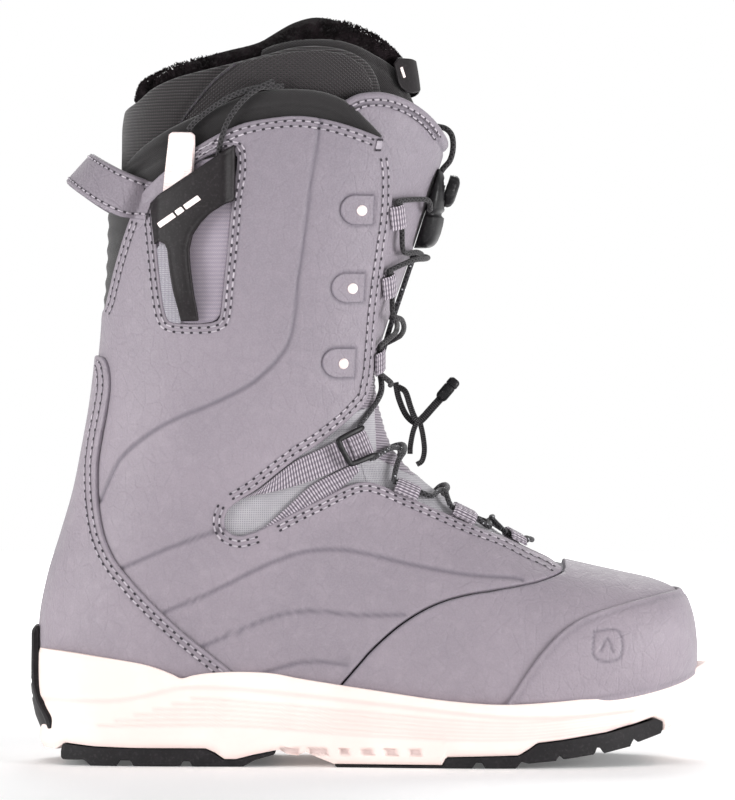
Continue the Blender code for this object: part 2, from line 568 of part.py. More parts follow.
def pocket_outline(grow):
    """Window of the side pocket in the quarter, left, bottom, right and top."""
    g = grow
    return ((-92.3 - g, 238), (-91.4 - g, 226), (-90 - g, 212), (-88.4 - g, 198),
            (-86.6 - g, 189.4), (-83.5, 186.6 - g), (-73, 186 - g), (-66, 186.8 - g),
            (-63.4 + g, 190), (-61.8 + g, 205), (-60 + g, 222), (-58.4 + g, 240),
            (-57.4 + g, 257.6 + g), (-73, 254.2 + g), (-86, 243 + g))


def build_pull_loop():
    """Grey strap round the back, both ends on the cuffs, wide enough for two fingers."""
    path = [(-97, -36.6, 237.5, 6, 17), (-103, -35.6, 238.4, 7, 17), (-110, -32.4, 240.6, 8.4, 16),
            (-117, -25.4, 244, 9.8, 14.6), (-122.4, -13.6, 247.6, 10.8, 13.2),
            (-124.2, 0, 249.2, 11.1, 12.6)]
    path += [(x, -y, z, wx, wz) for x, y, z, wx, wz in path[-2::-1]]
    p = np.array(path)
    c, w = p[:, :3], np.stack([p[:, 3], 0 * p[:, 3], p[:, 4]], -1)
    d = np.gradient(c, axis=0)
    n = np.cross(d, w)
    n /= np.linalg.norm(n, axis=1, keepdims=True)
    n *= np.sign((n * (c - (-60, 0, 240))).sum(1))[:, None]
    grids = [np.stack([c - w / 2 + n * o, c + w / 2 + n * o], 1) for o in (1.2, -1.0)]
    sandwich("pull_loop", grids[0], grids[1], GREY)


def build_pockets():
    for side, name in ((LATERAL, "lateral"), (MEDIAL, "medial")):
        t = skin("pocket_backing_" + name, (16, 27), (180, 360) if side < 0 else (0, 180),
                 -1.4, -LEATHER, CLOTH)
        trim(t, prism(pocket_outline(-.35), *reach(side)), True)
        build_retainer("pocket_retainer_" + name, side)
        handle = [((-84.6, 266.6), (-74, 266.6)), ((-85.2, 262), (-73.8, 262)),
                  ((-86.6, 250), (-74.4, 250)), ((-87.6, 240), (-75.2, 240)),
                  ((-86.6, 232), (-77, 232)), ((-84.6, 220), (-78, 220)), ((-83.4, 206), (-78, 206))]
        build_handle("pull_handle_" + name, handle, side)


def build_retainer(name, side):
    """Rubber bridge over the pull handle, fixed at its two arms and its foot."""
    rungs = (((-92.2, 237.5), (-56.8, 262.6)), ((-91.8, 232), (-57.8, 250)),
             ((-91.2, 226.4), (-59.4, 241.2)), ((-89.6, 222), (-68, 235)),
             ((-86.8, 218), (-73.8, 228)), ((-85, 211), (-75.6, 219)),
             ((-84.2, 204), (-75.4, 206)), ((-82.6, 196), (-74, 197)), ((-79.6, 187), (-72, 187)))
    arms, foot = (.4, 3.2, 3.2, 3.2, 1.8, .4), ((3.2,) * 6, (1.6,) * 6, (.4,) * 6)
    lift = np.array((arms, arms, arms, (1.6, 3.2, 3.2, 3.2, 3.2, 2.4), (3.2,) * 6, (3.2,) * 6) + foot)
    v = np.array((0, .1, .3, .52, .75, 1))[None, :, None]
    a, b = np.array(rungs).transpose(1, 0, 2)
    p = a[:, None] * (1 - v) + b[:, None] * v
    sandwich(name, at(p[..., 0], p[..., 1], side, lift + 1.8), at(p[..., 0], p[..., 1], side, lift),
             RUBBER)


def build_handle(name, rungs, side):
    """Flat pull handle that slides straight up behind its retainer."""
    top, foot = at(-79.2, 262, side, .6), at(-80.7, 206, side, .6)
    up = top - foot
    up /= np.linalg.norm(up)
    fore = at(-74, 240, side, 0) - at(-87, 240, side, 0)
    fore -= up * fore.dot(up)
    fore /= np.linalg.norm(fore)
    out = np.cross(up, fore)
    out *= np.sign(out[1] * side)
    grid = []
    for (x0, z), (x1, _) in rungs:
        m = foot + up * (z - 206) / up[2]
        grid.append([m + fore * (x0 - m[0]) / fore[0], m + fore * (x1 - m[0]) / fore[0]])
    g = np.array(grid)
    sandwich(name, g + out * 2.0, g, PALE)


def build_tongue():
    front = ((-90, 90))
    upper = skin("tongue_upper", (14, 28), front, -2.6, -2.6 - PAD, GREY)
    sides = ((-3, 290), (.6, 272), (1, 262), (1.6, 250), (1.2, 233), (-2, 210), (-5, 180), (-6.2, 166.4))
    trim(upper, prism(chain(sides, ((40, 166.4), (60, 240)), smooth(TONGUE_TOP[::-1], 2)[:-6]),
                      -80, 80), True)
    knit = skin("tongue_flex_panel", (9, 17), front, -2.9, -2.6 - PAD, WEB)
    trim(knit, prism(((-6.4, 166), (-9, 153), (-3, 139.4), (1.4, 131), (18, 123.8), (40, 123.8),
                      (40, 166)), -80, 80), True)
    lower = skin("tongue_lower", (6, 14), front, -2.85, -2.6 - PAD, CLOTH)
    trim(lower, prism(((-2, 137), (3, 119), (11, 109), (28, 102), (44, 95), (60, 89.5),
                       (67.5, 86.4), (90, 86.4), (90, 123), (18, 123), (1.2, 129.5)), -80, 80), True)


# Webbing eyes: edge x z, direction of the tunnel, length, leg behind the eye, clearance.
LOOPS_CUFF = ((9.0, 231.4, (-.14, 1), 10.4, 2.6, 1.6), (4.7, 202.0, (-.16, 1), 10.4, 2.6, 2.6),
              (1.4, 170.0, (-.1, 1), 10.4, 2.6, 2.8))
LOOPS_FORE = ((13.2, 114.2, (-1, .4), 10.5, 3.4, 1.2), (38.2, 103.2, (-1, .42), 10.5, 3.4, 1.8),
              (60.4, 94.3, (-1, .42), 9.0, 3.4, 2.6))
LOOP_ANKLE = (-5.3, 133.6, (-.42, 1), 11.5, 3.0, .45)
RIVETS = ((-4, 233.8), (-7.9, 201), (-11.8, 169.3))


def build_lace_hardware():
    for side, name in ((LATERAL, "lateral"), (MEDIAL, "medial")):
        for k, spec in enumerate(LOOPS_CUFF, 1):
            eyelet(f"cuff_loop_{name}_{k}", spec, side, WEB)
        for k, spec in enumerate(LOOPS_FORE, 1):
            eyelet(f"forefoot_loop_{name}_{k}", spec, side, WEB)
        eyelet(f"ankle_loop_{name}", LOOP_ANKLE, side, WEB)
        for k, (x, z) in enumerate(RIVETS, 1):
            p, n, _ = frame_at(*locate(x, z, side))
            p = at(x, z, side, 0)
            disc(f"rivet_{name}_{k}", p + n * .3, n, ((2.2, 0), (2.2, .5), (1.6, 1.1)), PALE, 10)
        upper = patch("ankle_strap_" + name, ((-46.4, 116.2), (-39, 121.4), (-30.4, 127.8),
                                              (-21.4, 132.8), (-14, 136.2), (-8.2, 138.8)),
                      ((-49, 114.3), (-40, 115.8), (-29, 118.6), (-19, 122.2), (-9.8, 126.4),
                       (-4, 128)), side, -.7, -1.9, WEB)
        lower = patch("strap_leg", ((-40.8, 103.4), (-34, 110), (-25, 118), (-13, 124), (-8, 128)),
                      ((-38.8, 103.6), (-30, 108.2), (-20, 113.4), (-11, 118.8), (-6.6, 124.6)),
                      side, -.7, -1.9, WEB)
        lower.hide_render, lower.display_type = True, "WIRE"
        m = upper.modifiers.new("join", "BOOLEAN")
        m.object, m.operation, m.solver = lower, "UNION", "EXACT"
        build_slider("ankle_slider_" + name, side)


def build_slider(name, side):
    """Open three-sided frame that rides on the ankle strap."""
    bars = ((-3.6, 142.0), (-9.2, 140.2), (-14.6, 138.2), (-12.4, 132.4), (-9.4, 126.6),
            (-4.2, 128.4), (.8, 130.4)), ((-3.0, 140.0), (-8.0, 138.2), (-11.8, 136.8),
                                          (-10.4, 133.0), (-8.0, 129.2), (-4.8, 130.6), (.2, 132.2))
    a, b = (np.array(v) for v in bars)
    a, b = a + (-7.4, -2.0), b + (-7.4, -2.0)
    outer, inner = (np.stack([at(e[:, 0], e[:, 1], side, o) for e in (a, b)], 1)
                    for o in (3.0, .5))
    sandwich(name, outer, inner, PLASTIC)


def thread(spec, side, down):
    """Lace points straight through an eye, from its top end or from its foot."""
    p, e, _, _, _ = eye_frame(spec, side)
    ends = [p + e * spec[3] * k for k in (.84, .46, -.46, -.84)]
    return ends if down else ends[::-1]


def over(spec_a, side_a, spec_b, side_b, away, lift):
    """Lace points across the tongue from the foot of one eye to the top of the next."""
    pa, ea, _, _, (ta, aa) = eye_frame(spec_a, side_a)
    pb, eb, _, _, (tb, ab) = eye_frame(spec_b, side_b)
    ta, tb = ta + away[0], tb + away[1]
    f = np.array([.12, .3, .5, .7, .88])
    s = f * f * (3 - 2 * f)
    off = EYE + (lift - EYE) * np.sin(np.pi * f) ** .5
    return list(facet(ta + (tb - ta) * s, aa + (ab - aa) * f, off))


def build_laces():
    runs = []
    for side in (LATERAL, MEDIAL):
        first, second, third = LOOPS_CUFF
        far, low = -side, 2.0 if side < 0 else 4.9
        runs.append([at_front(side * 18.6, 236.4, 2.4), at_front(side * 23, 239.6, 1.8)]
                    + thread(first, side, True) + over(first, side, second, far, (-1.2, .9), low)
                    + thread(second, far, True) + over(second, far, third, side, (-1.2, 1.1), low)
                    + thread(third, side, True))
    turn = [at_front(-10, 161.4, 4.0), at_front(0, 160, 3.6), at_front(10, 161.4, 4.0)]
    tube("upper_lace", runs[0] + turn + runs[1][::-1], LACE, CORD, 78)

    runs = []
    for side in (LATERAL, MEDIAL):
        one, two, three = LOOPS_FORE
        far, low, high = -side, *((-.3, 2.6) if side < 0 else (2.6, -.3))
        runs.append([at_front(side * 4.6, 217.6, -1.0), at_front(side * 4.6, 200, -1.0),
                     at_front(side * 5, 182, -1.0), at_front(side * 9, 168, -1.0),
                     at_front(side * 16.2, 156.5, .5)]
                    + thread(LOOP_ANKLE, side, True) + over(LOOP_ANKLE, side, one, far, (-.9, .9), low)
                    + thread(one, far, True) + over(one, far, two, side, (-.7, .7), high)
                    + thread(two, side, True) + over(two, side, three, far, (-.7, .7), low)
                    + thread(three, far, True))
    turn = [at_front(8, 92.4, 2.4), at_front(0, 91.6, 2.6), at_front(-8, 92.4, 2.4)]
    tube("lower_lace", runs[0] + turn + runs[1][::-1], LACE, CORD, 80)

    for side, name in ((LATERAL, "lateral"), (MEDIAL, "medial")):
        route = [at(-76.6, 268.6, side, .8), at(-72.5, 272.4, side, .4), at(-66, 277.2, side, -.4),
                 at(-57, 281.6, side, -.6), at(-49, 284.6, side, -.6), at(-42, 286.4, side, -1.8),
                 at(-37, 286.6, side, -3.6)]
        tube("handle_cord_" + name, route, LACE, CORD, 14)


def build_lock():
    """Lace lock on the front of the tongue, with a sprung release button."""
    def thick(t, a):
        return np.interp(t, [22, 23, 24, 25], [7.6, 6.6, 2.8, 2.2]) - np.abs(a) / 10
    housing = skin("lace_lock_housing", (22, 25), (-18, 18), thick, -2.2, PLASTIC)
    trim(housing, prism(((10, 221), (50, 221), (50, 252.6), (10, 252.6)), -40, 40), True)
    axis = Vector((.95, 0, -.312))
    seat = Vector((31.9, 0, 244.4))
    bore = disc("cutter", seat - axis * 4.0, axis, ((3.1, 0), (3.1, 12)), None)
    bore.hide_render, bore.display_type = True, "WIRE"
    trim(housing, bore, False)
    disc("lace_lock_button", seat, axis,
         ((2.7, -1), (2.7, 2.4), (6.2, 2.4), (6.2, 3.8), (4.4, 5)), PALE, 16)
    disc("lock_spring", seat - axis * 3.7, axis, ((2.3, 0), (2.3, 2.4)), STEEL, 10)


def build_release():
    """Ribbon loops round the laces with a pull toggle that swings on them."""
    loop = np.array([(6.4, 159.5), (9.2, 156.4), (11.2, 150.4), (13.4, 145.6), (14.2, 141.4),
                     (12.6, 136), (12.2, 131)])
    d = np.gradient(loop, axis=0)
    n = np.stack([-d[:, 1], d[:, 0]], -1)
    n /= np.linalg.norm(n, axis=1, keepdims=True)

    def at_y(p, y):
        return np.column_stack([p[:, 0], np.full(len(p), y), p[:, 1]])
    grids = [np.stack([at_y(loop + n * o, -3), at_y(loop + n * o, 3)], 1) for o in (.5, -.5)]
    sandwich("release_loop", grids[0] + (5.4, 0, 0), grids[1] + (5.4, 0, 0), CORD)
    arm = np.array([(16, 145), (20, 149.4), (24.2, 154), (24.8, 155.4), (30.6, 162.8)])
    thick = np.array([.8, .8, .9, 1.9, 1.9])
    d = np.gradient(arm, axis=0)
    n = np.stack([-d[:, 1], d[:, 0]], -1)
    n /= np.linalg.norm(n, axis=1, keepdims=True)
    arm = arm + (5.4, 0)
    grids = [np.stack([at_y(arm + n * thick[:, None] * s, -3.2), at_y(arm + n * thick[:, None] * s,
                                                                     3.2)], 1) for s in (1, -1)]
    sandwich("release_toggle", grids[0], grids[1], PLASTIC)


def build_liner():
    liner = skin("liner_body", LINER_ROWS, (0, 360), -5.9, -10.6, MESH, LINER)
    trim(liner, prism(chain(((-150, 340), (-150, 279)), smooth(LINER_RIM, 2),
                            ((7.6, 262), (2.6, 230), (-4, 196), (-6, 174), (60, 174), (60, 340))),
                      -80, 80), False)

    def wrap(t, a):
        return -6.6 - 4.6 * np.clip((np.abs(a) - 10) / 8, 0, 1)
    flap = skin("liner_tongue", (18, 20, 22, 24, 25, 26, 27, 28, 29), (-108, 108), wrap, -12.8, MESH, LINER)
    trim(flap, prism(chain(((-45.5, 200), (10, 178), (60, 178)), smooth(TONGUE_RIM[::-1], 2)[:-5],
                           ((-45.5, 304.2),)), -80, 80), True)

    def ring(t, a):
        turn = np.abs((a + 180) % 360 - 180)
        return -11.0 - 2.1 * np.clip((126 - turn) / 18, 0, 1)
    fleece = skin("liner_fleece", (25, 30), (0, 360), ring, -15.4, FLEECE, LINER)
    trim(fleece, prism(chain(((-150, 250), (60, 250), (60, 290)), smooth(FLEECE_RIM[::-1], 2),
                             ((-150, 279),)), -80, 80), True)


build_sole()
build_upper()
build_pockets()
build_tongue()
build_lace_hardware()
build_laces()
build_lock()
build_release()
build_liner()
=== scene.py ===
"""Looks of a right snowboard boot: leather shell, cup sole, speed lacing, fleece liner.

Every skin repeats the boot form of the CAD model at about one millimetre, in the same
side-view drawing (millimetres, x to the toe, z up), so it lies where its solid lies.
"""

import math

import bpy
import numpy as np
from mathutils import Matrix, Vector


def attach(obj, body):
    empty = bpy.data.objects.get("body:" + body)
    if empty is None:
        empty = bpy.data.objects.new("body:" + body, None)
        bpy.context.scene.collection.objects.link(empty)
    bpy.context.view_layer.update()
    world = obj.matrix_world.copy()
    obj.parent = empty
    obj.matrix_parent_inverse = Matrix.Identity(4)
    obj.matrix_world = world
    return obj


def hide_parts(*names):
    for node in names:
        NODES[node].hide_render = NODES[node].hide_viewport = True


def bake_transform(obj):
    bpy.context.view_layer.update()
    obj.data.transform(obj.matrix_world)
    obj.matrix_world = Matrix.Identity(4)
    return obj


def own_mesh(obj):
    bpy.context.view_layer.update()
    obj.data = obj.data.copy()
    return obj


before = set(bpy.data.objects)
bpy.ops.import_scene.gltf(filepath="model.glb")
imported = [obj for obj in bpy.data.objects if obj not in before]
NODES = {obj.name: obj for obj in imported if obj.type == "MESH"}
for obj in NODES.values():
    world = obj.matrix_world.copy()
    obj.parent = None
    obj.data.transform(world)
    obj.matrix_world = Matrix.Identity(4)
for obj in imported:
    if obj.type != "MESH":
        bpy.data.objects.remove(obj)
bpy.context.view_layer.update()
ORIGIN = np.array((.9, 0, .8))        # the drawing's zero in the row frame, mm
LATERAL, MEDIAL = -1, 1
SIDES = ((LATERAL, "lateral"), (MEDIAL, "medial"))
FINE = 1.0      # density of the skins
RNG = np.random.default_rng(7)

# One row per section of the boot form: back point x z, front point x z, lateral and
# medial y, roundness at the back and at the front, where it is widest (0 back, 1 front).
SHELL = (
    (131, 24, 139, 37, -9, 27, 2.3, 2.3, .50),
    (122, 21, 138.6, 50, -24, 38, 3.0, 2.5, .40),
    (110, 19, 136.5, 63, -36, 46, 3.6, 2.6, .34),
    (97, 18, 132.0, 72, -44, 50, 4.0, 2.6, .30),
    (85, 17.5, 122.0, 77, -49, 51, 4.0, 2.5, .28),
    (72, 17, 107.0, 80.5, -52, 51, 4.0, 2.4, .27),
    (55, 17, 90.0, 84.5, -53.5, 50, 4.0, 2.3, .27),
    (35, 17.5, 73.0, 89, -53, 46.5, 4.0, 2.4, .27),
    (12, 18.5, 58.0, 98, -49.5, 42, 4.0, 2.6, .27),
    (-15, 20, 44.0, 107, -45.5, 38, 4.0, 2.7, .28),
    (-45, 21, 31.0, 116, -42, 36.5, 4.0, 2.8, .29),
    (-80, 22, 20.5, 124.5, -40.5, 37, 4.0, 2.8, .31),
    (-110, 23, 13.5, 132, -40, 38.5, 3.4, 2.8, .34),
    (-130, 27, 9.8, 139, -40.5, 39, 2.6, 2.9, .38),
    (-139.5, 40, 7.4, 147, -41, 39.5, 2.3, 3.0, .42),
    (-141, 58, 5.4, 155, -41.5, 40.5, 2.2, 3.1, .44),
    (-137.5, 78, 4.6, 163, -42, 41.5, 2.2, 3.1, .46),
    (-132, 96, 5.4, 170, -43, 42.5, 2.2, 3.0, .48),
    (-126.5, 115, 7.2, 178, -44, 43.5, 2.2, 2.8, .50),
    (-122.5, 135, 9.6, 186, -45, 44.5, 2.2, 2.7, .50),
    (-119.5, 152, 12.8, 196, -46, 45.5, 2.2, 2.6, .50),
    (-117.3, 170, 16.3, 206, -47, 46.5, 2.2, 2.5, .50),
    (-115.8, 188, 20.0, 217, -48, 47.5, 2.2, 2.4, .50),
    (-114.3, 206, 24.0, 229, -49, 48.5, 2.2, 2.3, .50),
    (-113.5, 224, 28.8, 243, -50, 49.5, 2.2, 2.2, .50),
    (-113.1, 242, 33.6, 257, -51, 50.5, 2.2, 2.2, .50),
    (-112.8, 256, 36.4, 267, -51.5, 51, 2.2, 2.2, .50),
    (-112.2, 272, 37.0, 280, -51, 50.5, 2.2, 2.2, .50),
    (-111.0, 290, 35.0, 297, -50, 49.5, 2.2, 2.2, .50),
)
# The liner follows the shell up to the ankle and leans away from the tongue above it.
LINER = SHELL[:22] + (
    (-115.8, 188, 18.5, 217, -48, 47.5, 2.2, 2.4, .50),
    (-114.3, 206, 22.0, 229, -49, 48.5, 2.2, 2.3, .50),
    (-113.5, 224, 25.0, 243, -50, 49.5, 2.2, 2.2, .50),
    (-113.1, 242, 27.5, 257, -50.5, 50, 2.2, 2.2, .50),
    (-112.8, 258, 28.6, 271, -50.5, 50, 2.2, 2.2, .50),
    (-112.4, 275, 28.0, 286, -49.5, 49, 2.2, 2.2, .50),
    (-110.5, 291, 26.0, 300, -48, 47.5, 2.2, 2.2, .50),
    (-107.0, 306, 22.5, 314, -46, 45.5, 2.2, 2.2, .50),
    (-103.0, 321, 18.0, 328, -44, 43.5, 2.2, 2.2, .50),
)
# Plan of the midsole's widest line, heel to toe: x, lateral y, medial y.
PLAN = (
    (-143.5, 0, 0), (-141.6, -16, 16), (-136, -27, 26.5), (-126, -35.5, 34.5),
    (-110, -41, 40), (-90, -43.5, 41), (-65, -45, 39.5), (-40, -46, 39),
    (-15, -48.5, 41), (10, -52.5, 45), (35, -56, 49.5), (55, -57, 53), (72, -55.5, 54.5),
    (88, -51.5, 54), (104, -44, 51), (118, -33.5, 45), (129, -21, 37), (137, -9, 29),
    (142, 1, 20), (144.3, 9.5, 9.5),
)


def smooth(points, per=3):
    """More points along a smooth curve through the given ones."""
    p = np.asarray(points, float)
    return along(p, np.linspace(0, len(p) - 1, (len(p) - 1) * per + 1))


def along(table, t):
    """The table's values at fractional row numbers, joined by Catmull-Rom curves."""
    p = np.asarray(table, float)
    p = np.vstack([2 * p[0] - p[1], p, 2 * p[-1] - p[-2]])
    t = np.clip(np.asarray(t, float), 0, len(p) - 3)
    i = np.minimum(t.astype(int), len(p) - 4)
    f = (t - i)[..., None]
    a, b, c, d = p[i], p[i + 1], p[i + 2], p[i + 3]
    return b + f * ((c - a) + f * ((2 * a - 5 * b + 4 * c - d) + f * (3 * (b - c) + d - a))) / 2


def unit(v):
    """The same directions with length one."""
    return v / np.maximum(np.linalg.norm(v, axis=-1, keepdims=True), 1e-9)


def lengths(points):
    """How far along a polyline each of its points lies."""
    return np.concatenate([[0], np.cumsum(np.linalg.norm(np.diff(points, axis=0), axis=1))])


def at_lengths(points, marks):
    """Points at the given distances along a polyline."""
    d = lengths(points)
    return np.stack([np.interp(marks, d, points[:, k]) for k in range(points.shape[1])], -1)


def from_front(a):
    """An angle round the boot as -180 (lateral) to 180 (medial), 0 in front."""
    return (a + 180) % 360 - 180


def section(t, a, table):
    """Point of the section t at the angle a: 0 front, 90 medial, 180 back."""
    bx, bz, fx, fz, yl, ym, nb, nf, pk = np.moveaxis(along(table, t), -1, 0)
    c, s = np.cos(np.radians(a)), np.sin(np.radians(a))
    n = np.where(c < 0, nb, nf)
    q, w = np.abs(c) ** (2 / n), np.sign(s) * np.abs(s) ** (2 / n)
    u = np.where(c < 0, pk * (1 - q), pk + (1 - pk) * q)
    return np.stack([bx + (fx - bx) * u, (yl + ym) / 2 + (ym - yl) / 2 * w,
                     bz + (fz - bz) * u], -1)


def form(t, a, off=0.0, table=SHELL):
    """Point on the boot form, off millimetres outside it."""
    t, a = np.broadcast_arrays(np.asarray(t, float), np.asarray(a, float))
    dt = section(t + .01, a, table) - section(t - .01, a, table)
    da = section(t, a + .5, table) - section(t, a - .5, table)
    n = unit(np.cross(da, dt))
    return section(t, a, table) + n * np.broadcast_to(off, t.shape)[..., None]


def locate(x, z, side, table=SHELL):
    """Section and angle of the form's point that is seen at x, z from one side."""
    x, z = np.broadcast_arrays(np.asarray(x, float), np.asarray(z, float))
    lo, hi = np.zeros(x.shape), np.full(x.shape, len(table) - 1.0)
    for _ in range(40):
        t = (lo + hi) / 2
        r = along(table, t)
        ahead = (r[..., 2] - r[..., 0]) * (z - r[..., 1]) > (r[..., 3] - r[..., 1]) * (x - r[..., 0])
        lo, hi = np.where(ahead, t, lo), np.where(ahead, hi, t)
    bx, bz, fx, fz, _, _, nb, nf, pk = np.moveaxis(along(table, t), -1, 0)
    u = ((x - bx) * (fx - bx) + (z - bz) * (fz - bz)) / ((fx - bx) ** 2 + (fz - bz) ** 2)
    u = np.clip(u, 0, 1)
    c = np.where(u < pk, -np.clip(1 - u / pk, 0, 1) ** (nb / 2),
                 np.clip((u - pk) / (1 - pk), 0, 1) ** (nf / 2))
    return t, side * np.degrees(np.arccos(np.clip(c, -1, 1)))


def locate_front(y, z, table=SHELL):
    """Section and angle of the form's front point at y, z."""
    y, z = np.broadcast_arrays(np.asarray(y, float), np.asarray(z, float))
    lo, hi = np.full(y.shape, 4.0), np.full(y.shape, len(table) - 1.0)
    for _ in range(40):
        t = (lo + hi) / 2
        bx, bz, fx, fz, yl, ym, nb, nf, pk = np.moveaxis(along(table, t), -1, 0)
        w = np.clip((y - (yl + ym) / 2) / ((ym - yl) / 2), -1, 1)
        s = np.sign(w) * np.abs(w) ** (nf / 2)
        u = pk + (1 - pk) * np.sqrt(1 - s * s) ** (2 / nf)
        low = bz + (fz - bz) * u < z
        lo, hi = np.where(low, t, lo), np.where(low, hi, t)
    return t, np.degrees(np.arcsin(s))


# ------------------------------------------------------------------ side-view drawing
def signed(p, outline, closed=True):
    """Distance of each point inside a closed outline (negative outside) and its direction."""
    a = np.asarray(outline, float)
    b = np.roll(a, -1, 0)
    if not closed:
        a, b = a[:-1], b[:-1]
    best, away = np.full(len(p), 1e9), np.zeros((len(p), 2))
    inside = np.zeros(len(p), bool)
    for s, e in zip(a, b):
        d = e - s
        f = np.clip(((p - s) @ d) / max(d @ d, 1e-12), 0, 1)
        v = p - s - f[:, None] * d
        r = np.hypot(v[:, 0], v[:, 1])
        m = r < best
        best[m], away[m] = r[m], v[m]
        if closed:
            up = (s[1] > p[:, 1]) != (e[1] > p[:, 1])
            cross = s[0] + (p[:, 1] - s[1]) / (e[1] - s[1] if e[1] != s[1] else 1e-9) * d[0]
            inside ^= up & (p[:, 0] < cross)
    away /= np.maximum(best, 1e-6)[:, None]
    return (np.where(inside, best, -best) if closed else best), away


def chain(*parts):
    """Lists of points joined into one."""
    return np.vstack([np.asarray(p, float).reshape(-1, 2) for p in parts])


def normals(t, a, table=SHELL):
    """Outward directions of the boot form."""
    return unit(form(t, a, 1.0, table) - form(t, a, 0.0, table))


def split(tri, val, attrs):
    """Cut triangles along val = 0: kept triangles, dropped ones, vertex data with cuts."""
    ins = val >= 0
    cnt = ins[tri].sum(1)
    keep, drop = [tri[cnt == 3]], [tri[cnt == 0]]
    one, two = tri[cnt == 1], tri[cnt == 2]
    for k in (1, 2):
        m = ins[one[:, k]]
        one[m] = np.roll(one[m], -k, 1)
        m = ~ins[two[:, k]]
        two[m] = np.roll(two[m], -k, 1)
    pairs = np.concatenate([one[:, [0, 1]], one[:, [0, 2]], two[:, [1, 0]], two[:, [2, 0]]])
    key = np.sort(pairs, 1)
    uniq, inv = np.unique(key, axis=0, return_inverse=True)
    inv = inv.ravel() + len(val)
    f = val[uniq[:, 0]] / (val[uniq[:, 0]] - val[uniq[:, 1]])
    f = f.reshape(-1, 1)
    attrs = np.vstack([attrs, attrs[uniq[:, 0]] * (1 - f) + attrs[uniq[:, 1]] * f])
    n1, n2 = len(one), len(two)
    ab, ac = inv[:n1], inv[n1:2 * n1]
    po, qo = inv[2 * n1:2 * n1 + n2], inv[2 * n1 + n2:]
    keep += [np.column_stack([one[:, 0], ab, ac]), np.column_stack([po, two[:, 1], two[:, 2]]),
             np.column_stack([po, two[:, 2], qo])]
    drop += [np.column_stack([ab, one[:, 1], one[:, 2]]), np.column_stack([ab, one[:, 2], ac]),
             np.column_stack([two[:, 0], po, qo])]
    return np.concatenate(keep), np.concatenate(drop), attrs


def compact(tri, *data):
    """Triangles and vertex data without the unused vertices."""
    used, inv = np.unique(tri, return_inverse=True)
    return (inv.reshape(tri.shape),) + tuple(d[used] for d in data)


def rim(tri):
    """Directed edges of the open border."""
    e = np.concatenate([tri[:, [0, 1]], tri[:, [1, 2]], tri[:, [2, 0]]])
    n = e.max() + 1
    own, back = e[:, 0] * n + e[:, 1], e[:, 1] * n + e[:, 0]
    return e[~np.isin(own, back)]


# ----------------------------------------------------------------------- mesh makers
def solid(name, verts, faces, look, body="boot", tones=None, sharp=50, place=True):
    """A piece from points in drawing millimetres; tones are named values per vertex."""
    v = np.asarray(verts, float).reshape(-1, 3)
    v = (v + ORIGIN) * .001 if place else v
    mesh = bpy.data.meshes.new(name)
    f = faces.tolist() if isinstance(faces, np.ndarray) else faces
    mesh.from_pydata(v.tolist(), [], f)
    mesh.materials.append(look)
    for key, values in (tones or {}).items():
        mesh.attributes.new(key, "FLOAT", "POINT").data.foreach_set(
            "value", np.ascontiguousarray(values, np.float32).ravel())
    mesh.shade_smooth()
    if sharp:
        mesh.set_sharp_from_angle(angle=math.radians(sharp))
    ob = bpy.data.objects.new(name, mesh)
    bpy.context.collection.objects.link(ob)
    if body:
        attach(ob, body)
    return ob


def grid_faces(rows, cols, ring=False, base=0):
    """Faces of a grid of points; a ring joins its last column to its first."""
    i, j = np.meshgrid(np.arange(rows - 1), np.arange(cols if ring else cols - 1), indexing="ij")
    i, j = i.ravel(), j.ravel()
    k = (j + 1) % cols
    return np.column_stack([i * cols + j, i * cols + k, (i + 1) * cols + k, (i + 1) * cols + j]) + base


def plate(front, back, ends=True):
    """Points and faces of a closed plate between two equal grids of points."""
    r, c = front.shape[:2]
    n = r * c
    faces = np.concatenate([grid_faces(r, c), grid_faces(r, c, base=n)[:, ::-1]]).tolist()
    rim_ = [(i * c, (i + 1) * c) for i in range(r - 1)]
    rim_ += [((i + 1) * c + c - 1, i * c + c - 1) for i in range(r - 1)]
    if ends:
        rim_ += [(j + 1, j) for j in range(c - 1)]
        rim_ += [((r - 1) * c + j, (r - 1) * c + j + 1) for j in range(c - 1)]
    faces += [(a, b, b + n, a + n) for a, b in rim_]
    return np.concatenate([front.reshape(-1, 3), back.reshape(-1, 3)]), faces


def lathed(rows, sides):
    """Faces of rings of points stacked along a piece, with both ends closed."""
    last = sides * (rows - 1)
    return grid_faces(rows, sides, ring=True).tolist() + [list(range(sides))[::-1],
                                                         list(range(last, last + sides))]


def finish(ob, replaces=()):
    """Hides the CAD nodes that a piece stands for and returns the piece."""
    if replaces:
        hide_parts(*replaces)
    return ob


def outward(p, tri, n):
    """Triangles turned so that they face along the normals."""
    c = np.cross(p[tri[:, 1]] - p[tri[:, 0]], p[tri[:, 2]] - p[tri[:, 0]])
    return tri[:, ::-1] if (c * n[tri[:, 0]]).sum() < 0 else tri


def sheet_grid(rows, angles, dt, da):
    """Triangles and (section, angle) pairs of a patch of the boot form."""
    t = np.arange(rows[0], rows[1] + 1e-6, dt / FINE)
    a = np.linspace(angles[0], angles[1], int(round((angles[1] - angles[0]) / da * FINE)) + 1)
    t, a = np.meshgrid(t, a, indexing="ij")
    q = grid_faces(*t.shape)
    tri = np.concatenate([q[:, [0, 1, 2]], q[:, [0, 2, 3]]])
    return tri, np.column_stack([t.ravel(), a.ravel()])


